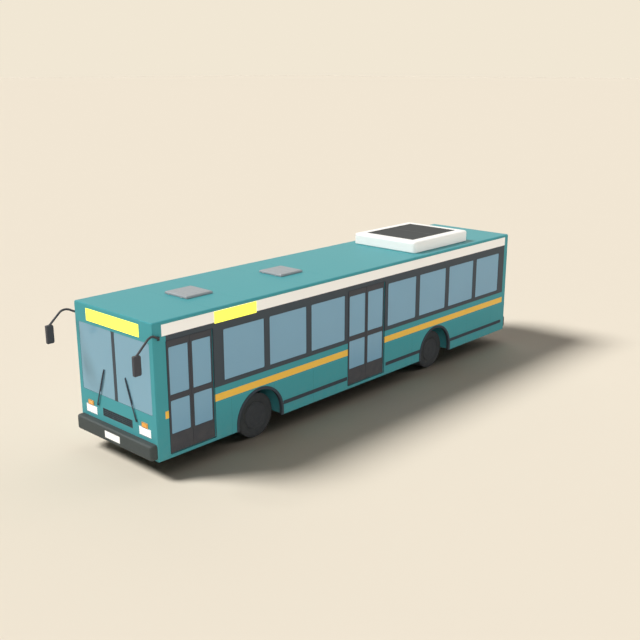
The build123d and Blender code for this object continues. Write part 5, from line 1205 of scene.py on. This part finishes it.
class BUS_OT_seats(BusOperator):
    """Make the seats: filled cushions and backs on moulded shells, with piping, legs and grab handles"""

    bl_idname = "bus.seats"
    bl_label = "Seats"

    BACK_HEIGHT = 0.62
    BACK_THICKNESS = 0.08
    # How much shorter a back's shell is than the back, how much lower its middle
    BACK_GAP, BACK_SINK = 0.01, 0.004
    CUSHION_THICKNESS = 0.09
    PLACE_WIDTH = 0.44
    PLACE_GAP = 0.012
    SHELL = 0.022
    # Rings of a shell, from its face down: share of its size, share of its thickness
    SHELL_RINGS = ((1.0, 0.0), (1.0, 0.6), (0.97, 1.0))
    SHELL_CORNERS = (0.05, 0.09)
    CORNER_STEPS = 4
    # Width over which a seat has two places, and over which it is a bench
    DOUBLE, BENCH = 0.6, 1.0
    # Template of a place: width, depth or height, thickness before it is filled
    CUSHION = (0.400, 0.395, 0.046)
    BACK = (0.395, 0.545, 0.036)
    # Sewn channels across each pad, by distance from its middle; their depth and half width
    CUSHION_CHANNELS, BACK_CHANNELS = (-0.11,), (-0.14, 0.12)
    CHANNEL = (0.007, 0.011)
    # Rounding of a pad's upright edges and of the edge round its face: distance, segments
    ROUNDINGS = ((0.055, 4), (0.014, 2))
    # Points below the first height are held while a pad is filled; those over the second are pressed into channels
    HELD_BELOW, FACE_ABOVE = 0.008, 0.02
    FILL_FRAMES = 20
    PIPING_POINTS = 20
    # Height of the seam as a share of a pad's, how far out it is looked for, how far off the pad it lies
    SEAM = (0.6, 0.6, 0.001)
    # Pedestal's post and foot: half length, half width, bevel and its segments
    POST, FOOT = (0.034, 0.02, 0.006, 2), (0.075, 0.032, 0.003, 1)
    # Height of the foot, distance of a pedestal from the aisle, gap under the cushion
    FOOT_HEIGHT, FROM_AISLE, UNDER_GAP = 0.012, 0.06, 0.001
    # Rails under a seat: distance of each from its rear and front edge; width and inset, depth, bevel
    RAILS, RAIL, RAIL_DEPTH, RAIL_BEVEL = (0.03, 0.09), 0.03, 0.028, 0.004
    # Grab handle: its foot ahead of the back's rear and from the aisle; corners (ahead, in from the aisle, down)
    HANDLE_FOOT = (0.010, 0.05)
    TUBE = {"Radius": 0.011, "Sides": 10, "Bend Radius": 0.025}
    HANDLE = ((0.0, 0.0, 0.17), (-0.030, 0.0, 0.14), (-0.030, 0.0, 0.045), (-0.030, 0.11, 0.045),
              (0.0, 0.13, 0.045))
    # Turns a lying pad so that it stands with its face ahead
    UPRIGHT = Matrix(((0, 0, 1, 0), (0, 1, 0, 0), (-1, 0, 0, 0), (0, 0, 0, 1)))

    def pad(self, name, size, channels, settings):
        """Vertices and faces of one filled pad lying on its back, its rested side at height 0."""
        width, run, thick = size
        work = bmesh.new()
        add_block(work, (-run / 2, -width / 2, 0.0), (run / 2, width / 2, thick))
        for chosen, (offset, segments) in zip((
                lambda low, high: high - low > thick / 2, lambda low, high: low > thick - 1e-4), self.ROUNDINGS):
            edges = [edge for edge in work.edges if chosen(*sorted(vertex.co.z for vertex in edge.verts))]
            bmesh.ops.bevel(work, geom=edges, offset=offset, segments=segments, affect="EDGES", profile=0.5)
        mesh = bpy.data.meshes.new(name)
        work.to_mesh(mesh)
        work.free()
        pad = add_object(name, mesh)
        remesh = pad.modifiers.new("Remesh", "REMESH")
        remesh.mode = "VOXEL"
        remesh.voxel_size = settings.voxel
        start = self.settled(pad)
        moved = self.fill(pad, start, settings)
        pad.data.vertices.foreach_set("co", moved.ravel())
        pad.modifiers.new("Smooth", "SUBSURF").levels = 1
        vertices = self.settled(pad)
        faces = [list(p.vertices) for p in pad.data.polygons]
        bpy.data.objects.remove(pad)
        depth, half = self.CHANNEL
        for line in channels:
            press = np.exp(-((vertices[:, 0] - line) / half) ** 2) * (vertices[:, 2] > self.FACE_ABOVE)
            vertices[:, 2] -= depth * press
        return vertices, faces

    def fill(self, pad, start, settings):
        """Blow the pad up with the cloth solver, its rested side held, and cap how far a point moves."""
        held = pad.vertex_groups.new(name="held")
        held.add([i for i, place in enumerate(start) if place[2] < self.HELD_BELOW], 1.0, "REPLACE")
        cloth = pad.modifiers.new("Fill", "CLOTH")
        cloth.settings.use_pressure = True
        cloth.settings.uniform_pressure_force = settings.pressure
        cloth.settings.effector_weights.gravity = 0.0
        cloth.settings.vertex_group_mass = "held"
        scene = bpy.context.scene
        for number in range(1, self.FILL_FRAMES + 1):
            scene.frame_set(number)
        moved = self.places_of(pad.evaluated_get(bpy.context.evaluated_depsgraph_get()).data)
        pad.modifiers.remove(cloth)
        scene.frame_set(1)
        step = moved - start
        reach = np.linalg.norm(step, axis=1)
        return start + step * np.minimum(1.0, settings.swell / np.maximum(reach, 1e-9))[:, None]

    def places_of(self, mesh):
        found = np.empty(len(mesh.vertices) * 3, np.float32)
        mesh.vertices.foreach_get("co", found)
        return found.reshape(-1, 3).astype(float)

    def settled(self, pad):
        """Makes a pad's modifiers permanent and gives the places of its vertices."""
        mesh = baked(pad)
        pad.modifiers.clear()
        pad.data = mesh
        return self.places_of(mesh)

    def seam(self, vertices, faces):
        """Loop round the pad's widest line, where its piping lies."""
        tree = BVHTree.FromPolygons([Vector(v) for v in vertices], faces)
        reach = vertices.max(0)
        up, far, off = self.SEAM
        loop = []
        for i in range(self.PIPING_POINTS):
            x, y = on_circle(i + 0.5, self.PIPING_POINTS)
            way = Vector((x * reach[0], y * reach[1], 0)).normalized()
            hit = tree.ray_cast(Vector((0, 0, up * reach[2])) + way * far, -way)[0]
            if hit is None:
                raise RuntimeError("the seam missed the pad")
            loop.append(np.array(hit) + off * np.array(way))
        return np.array(loop)

    def shell_panel(self, work, place, half_width, run, corner):
        """Moulded panel with rounded corners, its face at local height 0 and its body below."""
        corners = []
        for sx, sy in ((1, 1), (-1, 1), (-1, -1), (1, -1)):
            for i in range(self.CORNER_STEPS + 1):
                angle = math.atan2(sy, sx) - QUARTER / 2 + i * QUARTER / self.CORNER_STEPS
                corners.append((sx * (run / 2 - corner) + corner * math.cos(angle),
                                sy * (half_width - corner) + corner * math.sin(angle)))
        rings = [[work.verts.new(place @ Vector((x * part, y * part, -down * self.SHELL))) for x, y in corners]
                 for part, down in self.SHELL_RINGS]
        for first, second in zip(rings, rings[1:]):
            add_walls(work, first, second)
        work.faces.new(rings[0])
        work.faces.new(rings[-1][::-1])

    def places(self):
        """(frame of the cushion, frame of the back, width, seat's corners, is first place) of every place."""
        for low, high in solids_of("seats"):
            number = max(1, round((high.y - low.y) / self.PLACE_WIDTH))
            level = high.z - self.BACK_HEIGHT
            back_face = low.x + self.BACK_THICKNESS
            for i in range(number):
                y = low.y + (high.y - low.y) * (i + 0.5) / number
                cushion = Matrix.Translation((back_face + (high.x - back_face) / 2, y,
                                              level - self.CUSHION_THICKNESS + self.SHELL))
                back = Matrix.Translation((low.x + self.SHELL, y, level + self.BACK_HEIGHT / 2 - self.BACK_SINK))
                yield cushion, back @ self.UPRIGHT, (high.y - low.y) / number - self.PLACE_GAP, (low, high), i == 0

    def fitted(self, points, scale, place):
        """Points of a template stretched across and carried to a place."""
        return points * (1.0, scale, 1.0) @ np.array(place.to_3x3()).T + np.array(place.translation)

    def execute(self, context):
        settings = context.scene.bus_seats
        pads = (("cushions", 0, self.pad("cushion_pad", self.CUSHION, self.CUSHION_CHANNELS, settings)),
                ("backs", 1, self.pad("back_pad", self.BACK, self.BACK_CHANNELS, settings)))
        places = list(self.places())
        groups = {"row": [], "rear": []}
        for place in places:
            low, high = place[3]
            groups["row" if self.DOUBLE < high.y - low.y < self.BENCH else "rear"].append(place)
        loops, stands_for = [], ("seats",)
        for group, chosen in groups.items():
            for part, index, (vertices, faces) in pads:
                seam = self.seam(vertices, faces)
                span = vertices[:, 1].max() - vertices[:, 1].min()
                points, polygons = [], []
                for place in chosen:
                    scale = place[2] / span
                    polygons += [[corner + len(points) * len(vertices) for corner in face] for face in faces]
                    points.append(self.fitted(vertices, scale, place[index]))
                    loops.append([tuple(p) for p in self.fitted(seam, scale, place[index])])
                mesh = bpy.data.meshes.new(f"seat_{group}_{part}")
                mesh.from_pydata(np.concatenate(points).tolist(), [], polygons)
                mesh.materials.append(FINISHES["seat_fabric"])
                mesh.polygons.foreach_set("use_smooth", [True] * len(mesh.polygons))
                piece = dress(add_object(mesh.name, mesh), "body", stands_for)
                stands_for = ()
        points, edges = joined(loops)
        grow("seat_piping", "body", "seat_trim", "Round Tube", points, {
            "Radius": settings.piping, "Sides": 5, "Bend Radius": 0.02}, edges)
        self.make_shells(places)
        return {"FINISHED"}

    def make_shells(self, places):
        """Moulded shells, pedestals and the grab handles on the aisle side of each double seat."""
        shells, legs = bmesh.new(), bmesh.new()
        handles, edges = [], []
        for cushion, back, width, (low, high), first in places:
            panels = ((cushion, high.x - low.x - self.BACK_THICKNESS), (back, self.BACK_HEIGHT - self.BACK_GAP))
            for (place, reach), corner in zip(panels, self.SHELL_CORNERS):
                self.shell_panel(shells, place, width / 2, reach, corner)
            whole = high.y - low.y
            if not first or whole > 2 * self.BENCH:
                continue
            double = whole > self.DOUBLE
            aisle, towards = (low.y, 1) if low.y > 0 else (high.y, -1)
            x, y = (low.x + high.x) / 2, aisle + towards * self.FROM_AISLE if double else (low.y + high.y) / 2
            under = high.z - self.BACK_HEIGHT - self.CUSHION_THICKNESS - self.UNDER_GAP
            knee = low.z + self.FOOT_HEIGHT
            for (run, wide, bevel, segments), foot, top in ((self.POST, knee, under), (self.FOOT, low.z, knee)):
                add_block(legs, (x - run, y - wide, foot), (x + run, y + wide, top), bevel, segments)
            for rail in (low.x + self.RAILS[0], high.x - self.RAILS[1]):
                add_block(legs, (rail, low.y + self.RAIL, under - self.RAIL_DEPTH),
                          (rail + self.RAIL, high.y - self.RAIL, under), self.RAIL_BEVEL)
            if double:
                start = len(handles)
                x, y = low.x + self.HANDLE_FOOT[0], aisle + towards * self.HANDLE_FOOT[1]
                handles += [(x + ahead, y + towards * inward, high.z - down) for ahead, inward, down in self.HANDLE]
                edges += [(start + i, start + i + 1) for i in range(len(self.HANDLE) - 1)]
        solid("seat_shells", "body", "dash_grey", shells)
        solid("seat_legs", "body", "steel", legs)
        grow("seat_handles", "body", "rail_yellow", "Round Tube", handles, self.TUBE, edges)


class BUS_OT_stage(BusOperator):
    """Set the floor, the light and the camera"""

    bl_idname = "bus.stage"
    bl_label = "Stage"

    FLOOR_SIZE = 600.0
    FLOOR_LEVEL = -0.0005
    VIEW_AZIMUTH = 132.7026
    VIEW_ELEVATION = 15.8809
    CAMERA_PLACE = (15.08495, 13.9098, 7.5178)
    LAMP_DISTANCE = 30
    # Lights: name, azimuth and elevation they come from, angle across, colour
    LIGHTS = (
        ("key", -47.2, 46.2, 19.4, (1.0, 0.995, 0.985)),
        ("wide", -163.0, 21.3, 106.0, (1.0, 0.945, 0.935)),
        ("fill", 62.0, 8.0, 60.0, (1.0, 0.995, 0.985)),
    )

    def lay_floor(self, settings):
        work = bmesh.new()
        place = Matrix.Translation((0, 0, self.FLOOR_LEVEL))
        bmesh.ops.create_grid(work, x_segments=1, y_segments=1, size=self.FLOOR_SIZE, matrix=place)
        mesh = bpy.data.meshes.new("floor")
        work.to_mesh(mesh)
        work.free()
        material, tree, where = new_material("Studio Floor")
        mesh.materials.append(shaded(material, tree, {
            "Base Color": toned(tree, where, settings.floor, 0.4, 0.004), "Roughness": 1.0,
            "Specular IOR Level": 0.0}))
        add_object("studio_floor", mesh)

    def light_world(self, scene, settings):
        """Backdrop that is seen, mirrored and seen through glass, and an even light that is not."""
        world = bpy.data.worlds.new("Studio World")
        world.use_nodes = True
        world.node_tree.nodes.clear()
        tree = Tree(world.node_tree)
        rays = tree.add("ShaderNodeLightPath").outputs
        seen = tree.maths("MAXIMUM", rays["Is Camera Ray"],
                          tree.maths("MAXIMUM", rays["Is Glossy Ray"], rays["Is Transmission Ray"]))
        even, shown = [tree.add("ShaderNodeBackground", {"Color": colour, "Strength": power}) for colour, power in (
            ((1.0, 0.98, 0.95, 1.0), settings.sky), (opaque(settings.backdrop), 1.0))]
        tree.add("ShaderNodeOutputWorld", {"Surface": tree.add("ShaderNodeMixShader", {0: seen, 1: even, 2: shown})})
        scene.world = world

    def hang_lights(self, scene, settings):
        for name, azimuth, elevation, angle, colour in self.LIGHTS:
            lamp = bpy.data.lights.new(name, "SUN")
            lamp.energy = getattr(settings, name)
            lamp.angle = math.radians(angle)
            lamp.color = colour
            a, e = math.radians(azimuth), math.radians(elevation)
            towards = Vector((math.cos(a) * math.cos(e), math.sin(a) * math.cos(e), math.sin(e)))
            holder = bpy.data.objects.new(name, lamp)
            holder.rotation_euler = towards.to_track_quat("Z", "Y").to_euler()
            holder.location = towards * self.LAMP_DISTANCE
            scene.collection.objects.link(holder)
            holder.visible_glossy = name == "key"
            if name == "fill":
                spared = bpy.data.collections.new("spared_by_fill")
                spared.objects.link(bpy.data.objects["studio_floor"])
                holder.light_linking.receiver_collection = spared
                spared.collection_objects[0].light_linking.link_state = "EXCLUDE"

    def place_camera(self, scene):
        camera = bpy.data.cameras.new("camera")
        camera.lens = 50.0
        camera.sensor_width = 36.0
        camera.clip_end = 1500.0
        holder = bpy.data.objects.new("camera", camera)
        a, e = math.radians(self.VIEW_AZIMUTH), math.radians(self.VIEW_ELEVATION)
        back = Vector((math.sin(a) * math.cos(e), -math.cos(a) * math.cos(e), math.sin(e)))
        right = Vector((math.cos(a), math.sin(a), 0.0))
        turn = Matrix((right, back.cross(right), back)).transposed().to_4x4()
        holder.matrix_world = Matrix.Translation(self.CAMERA_PLACE) @ turn
        scene.collection.objects.link(holder)
        scene.camera = holder

    def execute(self, context):
        scene = context.scene
        settings = scene.bus_stage
        self.lay_floor(settings)
        self.light_world(scene, settings)
        self.hang_lights(scene, settings)
        self.place_camera(scene)
        scene.view_settings.view_transform = "Standard"
        return {"FINISHED"}


OPERATORS = (
    BUS_OT_finishes, BUS_OT_glazing, BUS_OT_tyres, BUS_OT_wheel_nuts, BUS_OT_wheel_covers, BUS_OT_lamps,
    BUS_OT_wipers, BUS_OT_mirrors, BUS_OT_roof_unit, BUS_OT_hatches, BUS_OT_doors, BUS_OT_front, BUS_OT_rear,
    BUS_OT_seats, BUS_OT_stage,
)


class VIEW3D_PT_bus(bpy.types.Panel):
    """Steps that dress the bus, in order"""

    bl_label = "City Bus"
    bl_space_type = "VIEW_3D"
    bl_region_type = "UI"
    bl_category = "City Bus"

    def draw(self, context):
        for operator in OPERATORS:
            self.layout.operator(operator.bl_idname)


SETTINGS = {
    "bus_paint": BusPaintSettings,
    "bus_glass": BusGlassSettings,
    "bus_tyres": BusTyreSettings,
    "bus_trim": BusTrimSettings,
    "bus_seats": BusSeatSettings,
    "bus_stage": BusStageSettings,
}
CLASSES = (*SETTINGS.values(), *OPERATORS, VIEW3D_PT_bus)


def register():
    for cls in CLASSES:
        bpy.utils.register_class(cls)
    for name, group in SETTINGS.items():
        setattr(bpy.types.Scene, name, PointerProperty(type=group))


def unregister():
    for name in SETTINGS:
        delattr(bpy.types.Scene, name)
    for cls in reversed(CLASSES):
        bpy.utils.unregister_class(cls)


def main():
    register()
    for operator in OPERATORS:
        group, name = operator.bl_idname.split(".")
        getattr(getattr(bpy.ops, group), name)()


if __name__ == "__main__":
    main()
